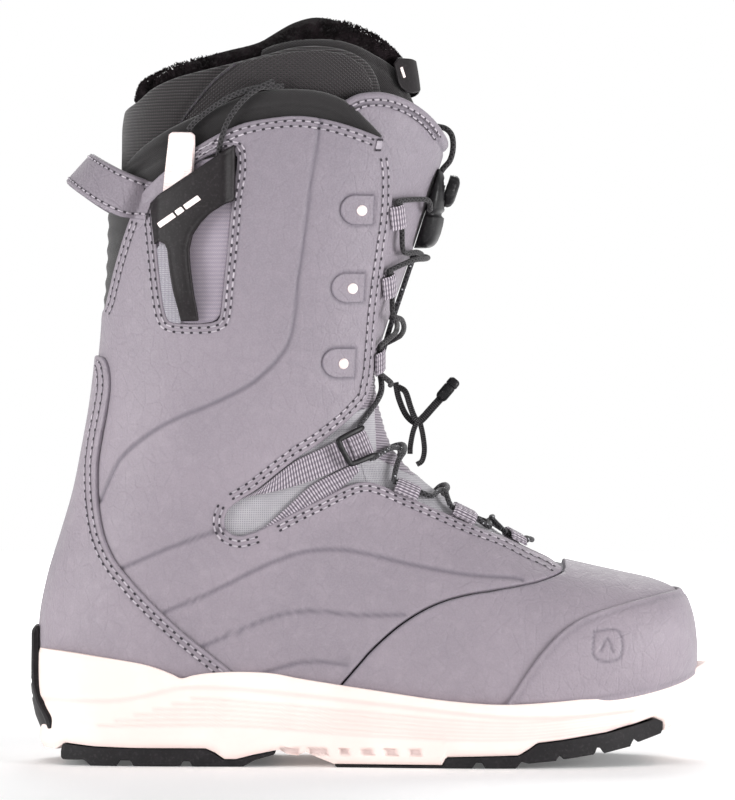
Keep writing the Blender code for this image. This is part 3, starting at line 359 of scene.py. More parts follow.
def panel(name, rows, angles, shape, out, thick, look, *, round_edge=.8, relief=None,
          table=SHELL, dt=1 / 16, da=1.25, replaces=(), bands=(.35, 1.0), tones=None):
    """A layer of the form cut to a side-view shape, with a rounded edge all round.

    shape(x, z) gives the distance inside the edge and its direction; relief(x, z, d, ta)
    adds height; tones(x, z, d, ta) gives the values that the material reads. The mesh is
    cut at the edge and again at each distance in bands."""
    tri, ta = sheet_grid(rows, angles, dt, da)

    def edge(ta):
        p = form(ta[:, 0], ta[:, 1], 0, table)
        n = normals(ta[:, 0], ta[:, 1], table)
        d, g = shape(p[:, [0, 2]], p)
        lean = g[:, 0] * n[:, 0] + g[:, 1] * n[:, 2]
        return p, n, d, d / np.sqrt(np.clip(1 - lean * lean, .05, 1))
    _, _, d, _ = edge(ta)
    tri, _, ta = split(tri, d, ta)
    tri, ta = compact(tri, ta)
    for level in bands:
        _, _, _, real = edge(ta)
        real[np.abs(real) < 1e-6] = 0
        near, far, ta = split(tri, real - level, ta)
        tri = np.concatenate([near, far])
    p, n, d, real = edge(ta)
    tri = outward(p, tri, n)
    real = np.maximum(real, 0)
    f = np.clip(real / round_edge, 0, 1)
    drop = round_edge * .75 * (1 - np.sqrt(1 - (1 - f) ** 2))
    height = (out(p[:, 0], p[:, 2], real, ta) if callable(out) else out) - drop
    if relief is not None:
        height = height + relief(p[:, 0], p[:, 2], real, ta)
    top = p + n * height[:, None]
    border = rim(tri)
    b = np.unique(border)
    back = np.full(len(p), -1)
    back[b] = np.arange(len(b)) + len(p)
    low = (out(p[:, 0], p[:, 2], real, ta) if callable(out) else out) - thick
    low = np.broadcast_to(low, real.shape)
    verts = np.vstack([top, p[b] + n[b] * low[b][:, None]])
    wall = np.column_stack([border[:, 1], border[:, 0], back[border[:, 0]], back[border[:, 1]]])
    faces = tri.tolist() + wall.tolist()
    val = {"edge": np.append(real, np.zeros(len(b)))}
    for key, v in (tones(p[:, 0], p[:, 2], real, ta) if tones else {}).items():
        val[key] = np.append(v, v[b])
    return finish(solid(name, verts, faces, look, tones=val, sharp=0), replaces)


def shaped(outline, hole=None):
    """Shape function of a closed side-view outline, less a hole."""
    def f(p, _):
        d, g = signed(p, outline)
        if hole is not None:
            e, h = signed(p, hole)
            m = -e < d
            d = np.where(m, -e, d)
            g = np.where(m[:, None], h, g)
        return d, g
    return f


def grooves(lines, width=.9, deep=.6):
    """Relief of soft embossed lines, each a side-view polyline."""
    lines = [smooth(l, 4) for l in lines]

    def f(x, z):
        p = np.column_stack([x, z])
        total = np.zeros(len(p))
        for l in lines:
            lo, hi = l.min(0) - 4, l.max(0) + 4
            m = ((p > lo) & (p < hi)).all(1)
            if m.any():
                d, _ = signed(p[m], l, closed=False)
                total[m] = np.maximum(total[m], np.exp(-(d / width) ** 2))
        return -deep * total
    return f


# Points and faces of the sewing thread, of the dark thread and of the dark discs of painted shade in the
# needle holes.
STITCH_V, STITCH_F = [], []
DARK_V, DARK_F = [], []
HOLE_SHADE_V, HOLE_SHADE_F = [], []


def stitches(points, norms, pitch=3.9, length=2.7, wide=.36, store=None, rise=.22):
    """Thread, and dark discs of painted shade for its needle holes, along a 3-D polyline that lies on a
    surface.
    """
    tv, tf, hv, hf = store or (STITCH_V, STITCH_F, HOLE_SHADE_V, HOLE_SHADE_F)
    d = lengths(points)
    n = max(int(round(d[-1] / pitch)), 1)

    def axes(s):
        """Centre, outward, forward and sideways directions at the distances s."""
        c, m = (np.stack([np.interp(s, d, arr[:, k]) for k in range(3)], -1)
                for arr in (points, norms))
        u = unit(at_lengths(points, s + .6) - at_lengths(points, s - .6))
        return c, m, u, np.cross(m, u)
    c, m, u, w = axes((np.arange(n) + .5) * d[-1] / n)
    ring = [(math.cos(k * math.pi / 3), math.sin(k * math.pi / 3)) for k in range(6)]
    base = sum(len(v) for v in tv)
    for f, r, h in ((-.5, .45, -.3), (-.34, 1, .1), (0, 1.08, .2), (.34, 1, .1), (.5, .45, -.3)):
        for x, y in ring:
            up = y * r * wide * .8 + h * wide * 1.6 + rise
            tv.append(c + u * f * length + w * x * r * wide + m * up)
    k = np.arange(len(c))
    total = len(c)
    for i in range(4):
        for j in range(6):
            q = (j + 1) % 6
            tf.append(np.column_stack([k + (i * 6 + j) * total, k + (i * 6 + q) * total,
                                       k + ((i + 1) * 6 + q) * total, k + ((i + 1) * 6 + j) * total])
                      + base)
    c, m, u, w = axes(np.arange(n + 1) * d[-1] / n)
    # dark discs of painted shade over the needle holes
    base = sum(len(v) for v in hv)
    total, k = len(c), np.arange(len(c))
    hv.append(c + m * (rise + .14))
    for x, y in ring:
        hv.append(c + (u * x * .78 + w * y * .56) + m * (rise + .06))
    for j in range(6):
        hf.append(np.column_stack([k, k + (1 + j) * total, k + (1 + (j + 1) % 6) * total]) + base)


def seam(points, side, off, table=SHELL, **kw):
    """Stitches along a side-view polyline, at a height over the form."""
    p = smooth(points, 6)
    t, a = locate(p[:, 0], p[:, 1], side, table)
    stitches(form(t, a, off, table), normals(t, a, table), **kw)


def inset(points, by):
    """A side-view polyline moved to its right by so many millimetres."""
    p = np.asarray(points, float)
    d = np.gradient(p, axis=0)
    n = np.column_stack([d[:, 1], -d[:, 0]])
    return p + unit(n) * by


def sweep(name, path, ups, profile, look, body="boot", *, scale=None, sharp=50, replaces=()):
    """A profile (sideways, upward) carried along a path; ups give its upward direction."""
    p, up = np.asarray(path, float), np.asarray(ups, float)
    u = unit(np.gradient(p, axis=0))
    up = unit(up - u * (up * u).sum(1)[:, None])
    w = np.cross(up, u)
    prof = np.asarray(profile, float)
    k = np.ones((len(p), 1)) if scale is None else np.reshape(scale, (-1, 1))
    v = (p[:, None] + w[:, None] * (prof[None, :, 0] * k)[..., None]
         + up[:, None] * (prof[None, :, 1] * k)[..., None])
    n, m = len(p), len(prof)
    val = {"run": np.repeat(lengths(p), m), "turn": np.tile(np.arange(m) / m, n),
           "across": np.tile(prof[:, 0], n)}
    return finish(solid(name, v, lathed(n, m), look, body, val, sharp), replaces)


def circle(r, n):
    """A round profile of n points."""
    w = np.arange(n) * 2 * np.pi / n
    return np.column_stack([r * np.cos(w), r * np.sin(w)])


def rounded_square(n, power):
    """Two coordinates of n points round a square with round corners, each -1 to 1."""
    w = np.arange(n) * 2 * np.pi / n
    return [np.sign(f) * np.abs(f) ** power for f in (np.cos(w), np.sin(w))]


def band(width, thick, n=7, soft=.35):
    """Cross-section of a flat strap with rounded edges."""
    x = np.linspace(-width / 2 + soft, width / 2 - soft, n)
    h = thick / 2
    top = np.column_stack([x, np.full(n, h)])
    right = [(width / 2 - soft * .3, h * .7), (width / 2, 0), (width / 2 - soft * .3, -h * .7)]
    left = [(-width / 2 + soft * .3, -h * .7), (-width / 2, 0), (-width / 2 + soft * .3, h * .7)]
    return np.vstack([top, right, top[::-1] * (1, -1), left])


def spline(points, step):
    """Evenly spaced points on a smooth curve through 3-D points."""
    p = smooth(points, 10)
    total = lengths(p)[-1]
    return at_lengths(p, np.linspace(0, total, max(int(total / step), 2) + 1))


def on(x, z, side, off):
    """Point over the shell that is seen at x, z from one side."""
    return form(*locate(x, z, side), off)


def on_front(y, z, off):
    """Point over the shell's front at y, z."""
    return form(*locate_front(y, z), off)


# ------------------------------------------------------------------------- materials
class Look:
    """A node material; every pattern reads the piece's own coordinates or values."""

    def __init__(self, name, rough=.6, **sockets):
        self.mat = bpy.data.materials.new(name)
        self.mat.use_nodes = True
        self.tree = self.mat.node_tree
        self.base = self.tree.nodes["Principled BSDF"]
        self.base.inputs["Roughness"].default_value = rough
        for key, value in sockets.items():
            self.base.inputs[key.replace("_", " ")].default_value = value
        self.place = self.node("ShaderNodeTexCoord").outputs["Object"]
        self.height = None

    def node(self, kind, ins=(), **props):
        n = self.tree.nodes.new(kind)
        for key, value in props.items():
            setattr(n, key, value)
        for key, value in dict(ins).items():
            if isinstance(value, bpy.types.NodeSocket):
                self.tree.links.new(value, n.inputs[key])
            else:
                n.inputs[key].default_value = value
        return n

    def math(self, op, a, b=0.0, c=0.0, clamp=False):
        n = self.node("ShaderNodeMath", {0: a, 1: b, 2: c}, operation=op, use_clamp=clamp)
        return n.outputs[0]

    def value(self, name):
        return self.node("ShaderNodeAttribute", attribute_name=name).outputs["Fac"]

    def stretched(self, x=1, y=1, z=1, turn=(0, 0, 0)):
        return self.node("ShaderNodeMapping", {"Vector": self.place, "Scale": (x, y, z),
                                               "Rotation": turn}).outputs[0]

    def noise(self, scale, detail=3.0, rough=.55, vector=None):
        n = self.node("ShaderNodeTexNoise", {"Vector": vector or self.place, "Scale": scale,
                                             "Detail": detail, "Roughness": rough})
        return n.outputs["Fac"]

    def cells(self, scale, feature="F1", vector=None, output="Distance"):
        n = self.node("ShaderNodeTexVoronoi", {"Vector": vector or self.place, "Scale": scale},
                      feature=feature)
        return n.outputs[output]

    def ramp(self, value, lo, hi):
        n = self.node("ShaderNodeMapRange", {"Value": value, "From Min": lo, "From Max": hi})
        n.interpolation_type = "SMOOTHSTEP"
        return n.outputs["Result"]

    def mix(self, factor, a, b, mode="MIX"):
        a, b = ((*v, 1) if isinstance(v, tuple) and len(v) == 3 else v for v in (a, b))
        n = self.node("ShaderNodeMix", data_type="RGBA", blend_type=mode)
        for i, v in ((0, factor), (6, a), (7, b)):
            if isinstance(v, bpy.types.NodeSocket):
                self.tree.links.new(v, n.inputs[i])
            else:
                n.inputs[i].default_value = v
        return n.outputs[2]

    def wave(self, value, pitch, phase=0.0):
        """0 to 1 wave of a value in mm."""
        s = self.math("SINE", self.math("MULTIPLY_ADD", value, 2 * math.pi / pitch, phase))
        return self.math("MULTIPLY_ADD", s, .5, .5)

    def color(self, c):
        self.tree.links.new(c, self.base.inputs["Base Color"])
        return self

    def roughness(self, r):
        self.tree.links.new(r, self.base.inputs["Roughness"])
        return self

    def bump(self, height, deep, strength=1.0):
        """Adds a height pattern, deep metres from its low to its high."""
        ins = {"Height": height, "Distance": deep, "Strength": strength}
        if self.height is not None:
            ins["Normal"] = self.height
        self.height = self.node("ShaderNodeBump", ins).outputs["Normal"]
        self.tree.links.new(self.height, self.base.inputs["Normal"])
        return self


def rgb(r, g, b):
    """sRGB 0-255 to linear."""
    return tuple(c / 12.92 if c <= .04045 else ((c + .055) / 1.055) ** 2.4
                 for c in (r / 255, g / 255, b / 255))


def leather_look():
    """Soft matt leather with painted shade: darker towards the cuff, in grooves and seams, and at cut
    edges.
    """
    k = Look("grey_leather", .52, Specular_IOR_Level=.42, Sheen_Weight=.18, Sheen_Roughness=.5)
    broad = k.ramp(k.noise(16, 3, .5), .3, .7)
    c = k.mix(broad, rgb(134, 125, 134), rgb(143, 133, 142))
    blot = k.ramp(k.noise(190, 5, .65), .45, .75)
    c = k.mix(k.math("MULTIPLY", blot, .3), c, rgb(160, 149, 158))
    # painted shade: the leather darkens with height towards the cuff, as if less light reached the top
    high = k.node("ShaderNodeSeparateXYZ", {0: k.place}).outputs["Z"]
    c = k.mix(k.math("MULTIPLY", k.ramp(high, .09, .27), .5), c, rgb(104, 98, 108))
    vein = k.ramp(k.cells(170, "DISTANCE_TO_EDGE", k.stretched(1, 1, .7)), .0, .09)
    speck = k.ramp(k.noise(1500, 2, .5), .35, .7)
    c = k.mix(k.math("MULTIPLY", speck, .12), c, rgb(170, 163, 171))
    c = k.mix(k.math("MULTIPLY", k.math("SUBTRACT", 1, vein), .06), c, rgb(104, 97, 108))
    # painted shade: each piece's deep value darkens the leather in its embossed grooves, seam grooves and
    # round its patches
    c = k.mix(k.math("MULTIPLY", k.value("deep"), .62), c, rgb(84, 78, 90))
    # painted shade: a darker band along the rounded cut edges, where the edge turns away from the light
    rim_ = k.math("SUBTRACT", 1, k.ramp(k.value("edge"), .0, .7))
    c = k.mix(k.math("MULTIPLY", rim_, .45), c, rgb(112, 104, 116))
    k.color(c).roughness(k.math("MULTIPLY_ADD", blot, -.08, .56))
    k.bump(k.cells(820, "F1"), .00016, .7)
    k.bump(k.noise(260, 6, .65, k.stretched(1, 1, .6, (0, .5, 0))), .0008, .55)
    k.bump(vein, .00016, .5)
    return k.mat


def foam_look():
    k = Look("pale_foam", .62, Specular_IOR_Level=.35)
    c = k.mix(k.ramp(k.noise(30, 4), .35, .7), rgb(239, 220, 214), rgb(247, 229, 223))
    # painted shade: the deep value darkens the foam in the step, ridges and slots of the side wall
    c = k.mix(k.math("MULTIPLY", k.value("deep"), .7), c, rgb(205, 184, 182))
    k.color(c).bump(k.noise(2600, 2), .00005, .5).bump(k.noise(60, 4), .0004, .15)
    return k.mat


def rubber_look(name="black_rubber", tone=(30, 26, 28), rough=.5):
    k = Look(name, rough, Specular_IOR_Level=.2)
    dark = tuple(v * .72 for v in rgb(*tone))
    c = k.mix(k.ramp(k.noise(160, 5), .35, .7), dark, rgb(*tone))
    c = k.mix(k.math("MULTIPLY", k.ramp(k.noise(900, 3), .5, .75), .25), c, rgb(74, 69, 73))
    k.color(c).bump(k.noise(3000, 2), .00004, .5).bump(k.noise(400, 3), .0001, .25)
    return k.mat


def plain_look(name, tone, light, rough=.5, grain=1800, deep=.00004, **kw):
    k = Look(name, rough, **kw)
    k.color(k.mix(k.ramp(k.noise(120, 4), .35, .7), rgb(*tone), rgb(*light)))
    k.bump(k.noise(grain, 2), deep, .5)
    return k.mat


def cloth_look(name, dark, light, pitch=.9, deep=.00012, sheen=.25, twill=False):
    """Woven cloth: threads over and under, read from the piece's own position."""
    k = Look(name, .85, Specular_IOR_Level=.2, Sheen_Weight=sheen)
    xyz = k.node("ShaderNodeSeparateXYZ", {0: k.place})
    x, y, z = (k.math("MULTIPLY", xyz.outputs[i], 1000) for i in range(3))
    u = k.math("ADD", x, k.math("MULTIPLY", y, .8))
    w = k.math("ADD", u, z) if twill else u
    a, b = k.wave(w, pitch), k.wave(z, pitch * (2.2 if twill else 1))
    h = k.math("MULTIPLY", a, b) if twill else k.math("MAXIMUM", a, b)
    c = k.mix(h, rgb(*dark), rgb(*light))
    c = k.mix(k.math("MULTIPLY", k.ramp(k.noise(90, 4), .4, .7), .3), c, rgb(*dark))
    k.color(c).bump(h, deep, .8).bump(k.noise(2500, 2), .00005, .4)
    return k.mat


def knit_look(name, dark, light, pu=1.5, pv=1.9, deep=.0003, fine=False, gap=.5):
    """Spacer mesh read from the skin's own su and sv values, in mm."""
    k = Look(name, .9, Specular_IOR_Level=.18, Sheen_Weight=.3, Sheen_Roughness=.6)
    u, v = k.value("su"), k.value("sv")
    if fine:
        h = k.math("MULTIPLY", k.wave(v, pv), k.math("MULTIPLY_ADD", k.wave(u, pu), .4, .6))
    else:
        d1 = k.wave(k.math("ADD", u, v), pu)
        d2 = k.wave(k.math("SUBTRACT", u, v), pv)
        h = k.math("MAXIMUM", d1, d2)
    h = k.ramp(h, .5 - gap / 2, .5 + gap / 2)
    c = k.mix(h, rgb(*dark), rgb(*light))
    c = k.mix(k.math("MULTIPLY", k.ramp(k.noise(1400, 3), .45, .7), .35), c, rgb(*dark))
    k.color(c).bump(h, deep, .9).bump(k.noise(2600, 2), .00006, .4)
    return k.mat


def webbing_look(name, dark, light, pitch=1.25):
    """Ribbed webbing or ribbon read from run and across, in mm."""
    k = Look(name, .82, Specular_IOR_Level=.25, Sheen_Weight=.3)
    run, across = k.value("run"), k.value("across")
    rib = k.wave(run, pitch)
    row = k.wave(k.math("ADD", across, k.math("MULTIPLY", rib, .12)), pitch * 1.9)
    h = k.math("MULTIPLY", rib, k.math("MULTIPLY_ADD", row, .5, .5))
    h = k.ramp(h, .12, .75)
    c = k.mix(h, rgb(*dark), rgb(*light))
    c = k.mix(k.math("MULTIPLY", k.ramp(k.noise(700, 3), .5, .75), .25), c, rgb(*dark))
    k.color(c).bump(h, .00035, .9).bump(k.noise(3000, 2), .00005, .4)
    return k.mat


def cord_look(name, dark, light, pitch=2.1, strands=4, fleck=None):
    """Braided cord read from run (mm) and turn (0 to 1 round it)."""
    k = Look(name, .75, Specular_IOR_Level=.3, Sheen_Weight=.2)
    run, turn = k.math("DIVIDE", k.value("run"), pitch), k.value("turn")
    turn = k.math("MULTIPLY", turn, strands)
    a = k.wave(k.math("ADD", run, turn), 1)
    b = k.wave(k.math("SUBTRACT", run, turn), 1)
    h = k.ramp(k.math("MAXIMUM", a, b), .45, .95)
    c = k.mix(h, rgb(*dark), rgb(*light))
    if fleck:
        p = k.node("ShaderNodeCombineXYZ", {0: k.math("MULTIPLY", run, 1.4), 1: turn})
        spot = k.ramp(k.cells(1.0, "F1", p.outputs[0]), .32, .2)
        some = k.ramp(k.noise(.9, 1, .5, p.outputs[0]), .5, .56)
        c = k.mix(k.math("MULTIPLY", k.math("MULTIPLY", spot, some), .9), c, rgb(*fleck))
    k.color(c).bump(h, .0003, .9)
    return k.mat


LEATHER = leather_look()
FOAM = foam_look()
RUBBER = rubber_look()
TREAD = rubber_look("tread_rubber", (33, 31, 33), .62)
PLASTIC = rubber_look("black_plastic", (26, 25, 27), .36)
PALE = plain_look("pale_plastic", (240, 222, 220), (250, 236, 233), .42, Specular_IOR_Level=.45)
STEEL = plain_look("spring_steel", (150, 150, 152), (190, 190, 192), .3, Metallic=1.0)
BOARD = plain_look("fibre_board", (96, 84, 70), (122, 108, 90), .9, 900, .0002)
THREAD = plain_look("pale_thread", (150, 143, 152), (186, 178, 186), .7, 4000, .00006)
DARK_THREAD = plain_look("dark_thread", (44, 42, 45), (66, 62, 66), .7, 4000, .00006)
# painted shade: the dark discs at the needle holes stand for the shade inside each hole
HOLE_SHADE = plain_look("needle_hole_shade", (44, 39, 46), (60, 54, 62), .9)
CLOTH = cloth_look("grey_cloth", (128, 126, 131), (176, 173, 178), .95)
TWILL = cloth_look("grey_twill", (146, 137, 149), (178, 168, 178), .8, twill=True)
LINING = cloth_look("shell_lining_cloth", (40, 38, 41), (66, 63, 67), .9)
NEOPRENE = knit_look("black_neoprene", (11, 9, 10), (26, 22, 24), .75, .75, .00008, gap=.8)
MESH = knit_look("coarse_mesh", (6, 5, 5), (36, 29, 32), 1.7, 1.7, .0003)
RIBS = knit_look("ribbed_mesh", (13, 10, 11), (42, 34, 37), 1.1, 1.35, .00022, fine=True)
FELT = knit_look("liner_tongue_knit", (12, 10, 11), (28, 23, 25), 1.2, 1.2, .0001)
KNIT = knit_look("flex_knit", (104, 96, 106), (162, 152, 162), 1.1, 1.1, .0002, fine=True)
WEB = webbing_look("pale_webbing", (96, 88, 98), (190, 180, 190))
RIBBON = webbing_look("black_ribbon", (16, 15, 16), (54, 51, 54), .9)
CORD = cord_look("black_cord", (12, 11, 12), (52, 49, 52))
FLECKED = cord_look("flecked_cord", (14, 13, 15), (56, 54, 58), fleck=(214, 214, 220))
FUR = plain_look("dark_fleece", (16, 13, 14), (30, 25, 27), .95, 600, .0004)
FUR_TIPS = plain_look("fleece_pile", (18, 15, 16), (44, 37, 40), 1.0, 600, .0001,
                      Specular_IOR_Level=.1)
TAB = plain_look("pull_tab_plastic", (236, 216, 214), (248, 232, 230), .5, 900, .00004)
PALE_WEB = webbing_look("strip_webbing", (150, 146, 156), (186, 182, 190), .8)


# ------------------------------------------------------------------ side-view lines, mm
CUFF_TOP = ((-96, 243), (-88, 250), (-73, 261), (-56, 269.5), (-40, 272.7), (-28, 273.2),
            (-15, 271), (-3, 267.3), (5.5, 264))
CUFF_FRONT = ((7.5, 261), (9.3, 250), (8.9, 233), (7.2, 220), (5.2, 206), (3.2, 190),
              (2, 175), (.8, 163), (-1.5, 154))
NOTCH_TOP = ((-4, 150.5), (-12, 143), (-22, 135.3), (-31, 129.5), (-40, 122.6),
             (-49, 115.5), (-57, 110.5))
NOTCH_END = ((-60.5, 107.5), (-62, 103), (-60.8, 98.8), (-56, 96.4), (-49, 98))
THROAT = ((-40, 102.3), (-30, 107.5), (-20, 112.4), (-11, 117), (-3, 119.3), (4, 118),
          (14, 113.7), (28, 107.7), (42, 101.5), (57, 95.8), (68, 90.2), (76, 86.6),
          (81.5, 83))
SEAM = ((81, 81.8), (77, 80), (70, 77.7), (60, 75.7), (50, 74), (40, 72.3), (30, 69.5),
        (20, 64.8), (10, 58), (0, 49), (-7, 41), (-13, 34), (-19, 27))
COUNTER_FRONT = ((-116.5, 173), (-113, 171.6), (-111, 167), (-110.5, 159), (-112, 149),
                 (-114, 139), (-115.6, 128), (-115.7, 118), (-115, 108), (-113, 97),
                 (-109, 87.5), (-103, 79.5), (-93, 68.5), (-80, 56.2), (-68, 46.5),
                 (-59, 39.4), (-50, 32))
CAP_EDGE = ((55, 22), (57.5, 27), (61, 32.3), (65, 38.5), (70, 45.5), (75, 51.3),
            (80, 56), (86, 60.2), (92, 63), (100, 65.5), (110, 68), (120, 70.2),
            (132, 72.6), (142, 75))
REAR_EDGE = ((-119, 190), (-114.6, 193), (-112.3, 200), (-110, 209), (-106.6, 220),
             (-103, 230), (-98.6, 239.5))
COLLAR_TOP = ((-116, 249), (-110, 251.5), (-100, 260.5), (-90, 267), (-80, 271.8),
              (-68, 276.5), (-55, 281.7), (-42, 284.6), (-30, 285), (-19, 283.6),
              (-9, 279.6), (-1, 272.5), (6, 265.5))
LINER_RIM = ((-112, 279), (-104.5, 282.5), (-98, 287), (-88, 291), (-75, 294), (-60, 297.2),
             (-45, 300.8), (-32, 304), (-20, 304.7), (-8, 303), (1, 298.7), (6, 292),
             (8.2, 285))
TONGUE_RIM = ((-60, 297), (-47, 303.6), (-40, 306.3), (-30, 308.2), (-18, 308.8),
              (-7, 308), (3, 305.3), (12, 301), (18, 296.5), (21.5, 291.5), (24, 285))
FLEECE_RIM = ((-114, 279), (-104, 285.5), (-98, 290.5), (-88, 295), (-76, 298.4),
              (-64, 301.2), (-53, 303.4), (-46, 305.6), (-40, 309), (-32, 313),
              (-22, 315.6), (-12, 315), (-2, 312.6), (7, 308), (14, 302.6), (20, 296))
TONGUE_TOP = ((-22, 276), (-12, 279.6), (-5, 283), (2, 284.2), (9, 283.8), (18, 281),
              (26, 276.3), (32, 270.6), (38, 262))
SOLE_TOP = ((-150, 48), (-140, 48), (-128, 47), (-112, 44.8), (-98, 42.6), (-90, 40.4),
            (-84, 38), (-80, 36.4), (-75, 37.7), (-68, 38.7), (-56, 39.2), (-42, 38.6),
            (-30, 36.4), (-12, 33.6), (6, 31), (24, 28.4), (40, 26.8), (56, 26),
            (76, 27), (98, 29.2), (118, 32.7), (131, 36), (139, 39), (146, 42))
SOLE_BASE = ((-150, 6), (-136, 5.6), (-131, 8.6), (-118, 7.4), (-100, 6.9), (-70, 6.9),
             (-66, 5.2), (-62, 2.4), (-57, 2.4), (-50, 4.2), (-39, 6.4), (-36, 4.6),
             (-31, 4), (-28, 5.6), (-23, 3.4), (-16, .6), (30, .6), (31, 3.9), (62, 4.7),
             (66, 7), (70, 9.8), (80, 10.9), (100, 13.8), (114, 17.2), (121, 19.2),
             (125, 17.2), (126, 13), (130, 15), (135, 18.6), (140, 24.5), (146, 33))
HEEL_TREAD = ((-131, 8.2), (-118, 7.0), (-100, 6.5), (-70, 6.5), (-66.4, 4.9), (-62.2, 2),
              (-57, 2), (-50, 3.8), (-39.5, 6), (-41, 4.2), (-49, 2), (-54, -.8),
              (-75.5, -.8), (-76.5, 1.4), (-79.5, 1.4), (-80.5, -.8), (-100.5, -.8),
              (-101.5, 1.6), (-106.5, 1.6), (-107.5, -.8), (-119, -.8), (-121.5, 1.6),
              (-127, 1.4), (-131, 1.4), (-132, 3))
FORE_TREAD = ((-15.6, .2), (30.4, .2), (31, 3.5), (62, 4.3), (65.8, 6.5), (70, 9.4),
              (80, 10.5), (100, 13.4), (114, 16.8), (121, 18.7), (124.3, 17),
              (124.6, 15.4), (123.4, 12.2), (113, 9), (111, 10.6), (109.6, 7.4), (98, 4.9),
              (96.6, 7.4), (95, 7.4), (94.2, 4.6), (81, 2.8), (79, 4.6), (77.8, 2.2),
              (66, 1.2), (63, 2), (61, -.8), (48, -.8), (46.5, 1.6), (44, 1.6), (42.5, -.8),
              (-14.4, -.8))
# Webbing eyes: x and z of the edge beside them, direction of their tunnel, its length,
# their reach behind it and their distance from the edge.
LOOPS_CUFF = ((9.0, 231.4, (-.14, 1), 10.4, 2.6, 1.6), (4.7, 202.0, (-.16, 1), 10.4, 2.6, 2.6),
              (1.4, 170.0, (-.1, 1), 10.4, 2.6, 2.8))
LOOPS_FORE = ((13.2, 114.2, (-1, .4), 10.5, 3.4, 1.2), (38.2, 103.2, (-1, .42), 10.5, 3.4, 1.8),
              (60.4, 94.3, (-1, .42), 9.0, 3.4, 2.6))
LOOP_ANKLE = (-5.3, 133.6, (-.42, 1), 11.5, 3.0, .45)
RIVETS = ((-4, 233.8), (-7.9, 201), (-11.8, 169.3))
# Embossed lines of the quarters, and the opening of the side pocket.
S_CURVE = ((-21.5, 272), (-22.5, 262), (-24.5, 250), (-26.5, 235), (-29, 215), (-30.5, 205),
           (-32, 190), (-34, 180), (-37, 174), (-42, 168), (-50, 161), (-60, 155.5), (-70, 151),
           (-80, 147), (-90, 142), (-100, 135), (-107, 128), (-112, 118), (-115, 111))
ARCS = (((-62, 99.5), (-70, 97), (-80, 93.5), (-90, 89.5), (-98, 86), (-106, 82.5)),
        ((-88, 64), (-70, 71.5), (-50, 81.5), (-40, 86), (-30, 89.5), (-20, 90.7), (-10, 90.5),
         (0, 88.5), (20, 84), (40, 80.5), (60, 79), (64, 78)),
        ((-72, 49.5), (-60, 54.5), (-50, 59), (-40, 62.8), (-30, 64.6), (-22, 64.8),
         (-10, 63.5), (0, 63.2), (14, 63.4)),
        ((-45, 38.8), (-38, 41), (-30, 43), (-20, 43.4), (-10, 42.5)))
WINDOW = ((-92.3, 238), (-91.4, 226), (-90, 212), (-88.4, 198), (-86.6, 189.4), (-83.5, 186.6),
          (-73, 186), (-66, 186.8), (-63.4, 190), (-61.8, 205), (-60, 222), (-58.4, 240),
          (-57.2, 258.5), (-73, 254.5), (-86, 243))


def foot_line(start, stop):
    """Where the uppers end behind the rim of the sole."""
    top = smooth(SOLE_TOP, 4)
    x = np.linspace(start, stop, 40)
    return np.column_stack([x, np.interp(x, *top.T) - 2.2])


def quarter_line():
    """Outline of a quarter: cuff, front edge, notch, throat, toe seam, foot and rear edge."""
    low = foot_line(-30, -150)
    return chain(smooth(CUFF_TOP, 5), smooth(CUFF_FRONT, 5), smooth(NOTCH_TOP, 5),
                 smooth(NOTCH_END, 5), smooth(THROAT, 5), smooth(SEAM, 5), low, ((-150, 190),),
                 smooth(REAR_EDGE, 5))


def patch_line(x, z):
    """D-shaped reinforcement round a rivet: round at the rear, straight in front."""
    w = np.radians(np.arange(90, 271, 12))
    return chain(((x + 4.6, z - 5.8), ), np.column_stack([x - 2.6 + 6.2 * np.cos(w[::-1]),
                                                          z + .2 + 6.2 * np.sin(w[::-1])]),
                 ((x + 5.2, z + 6.4),))


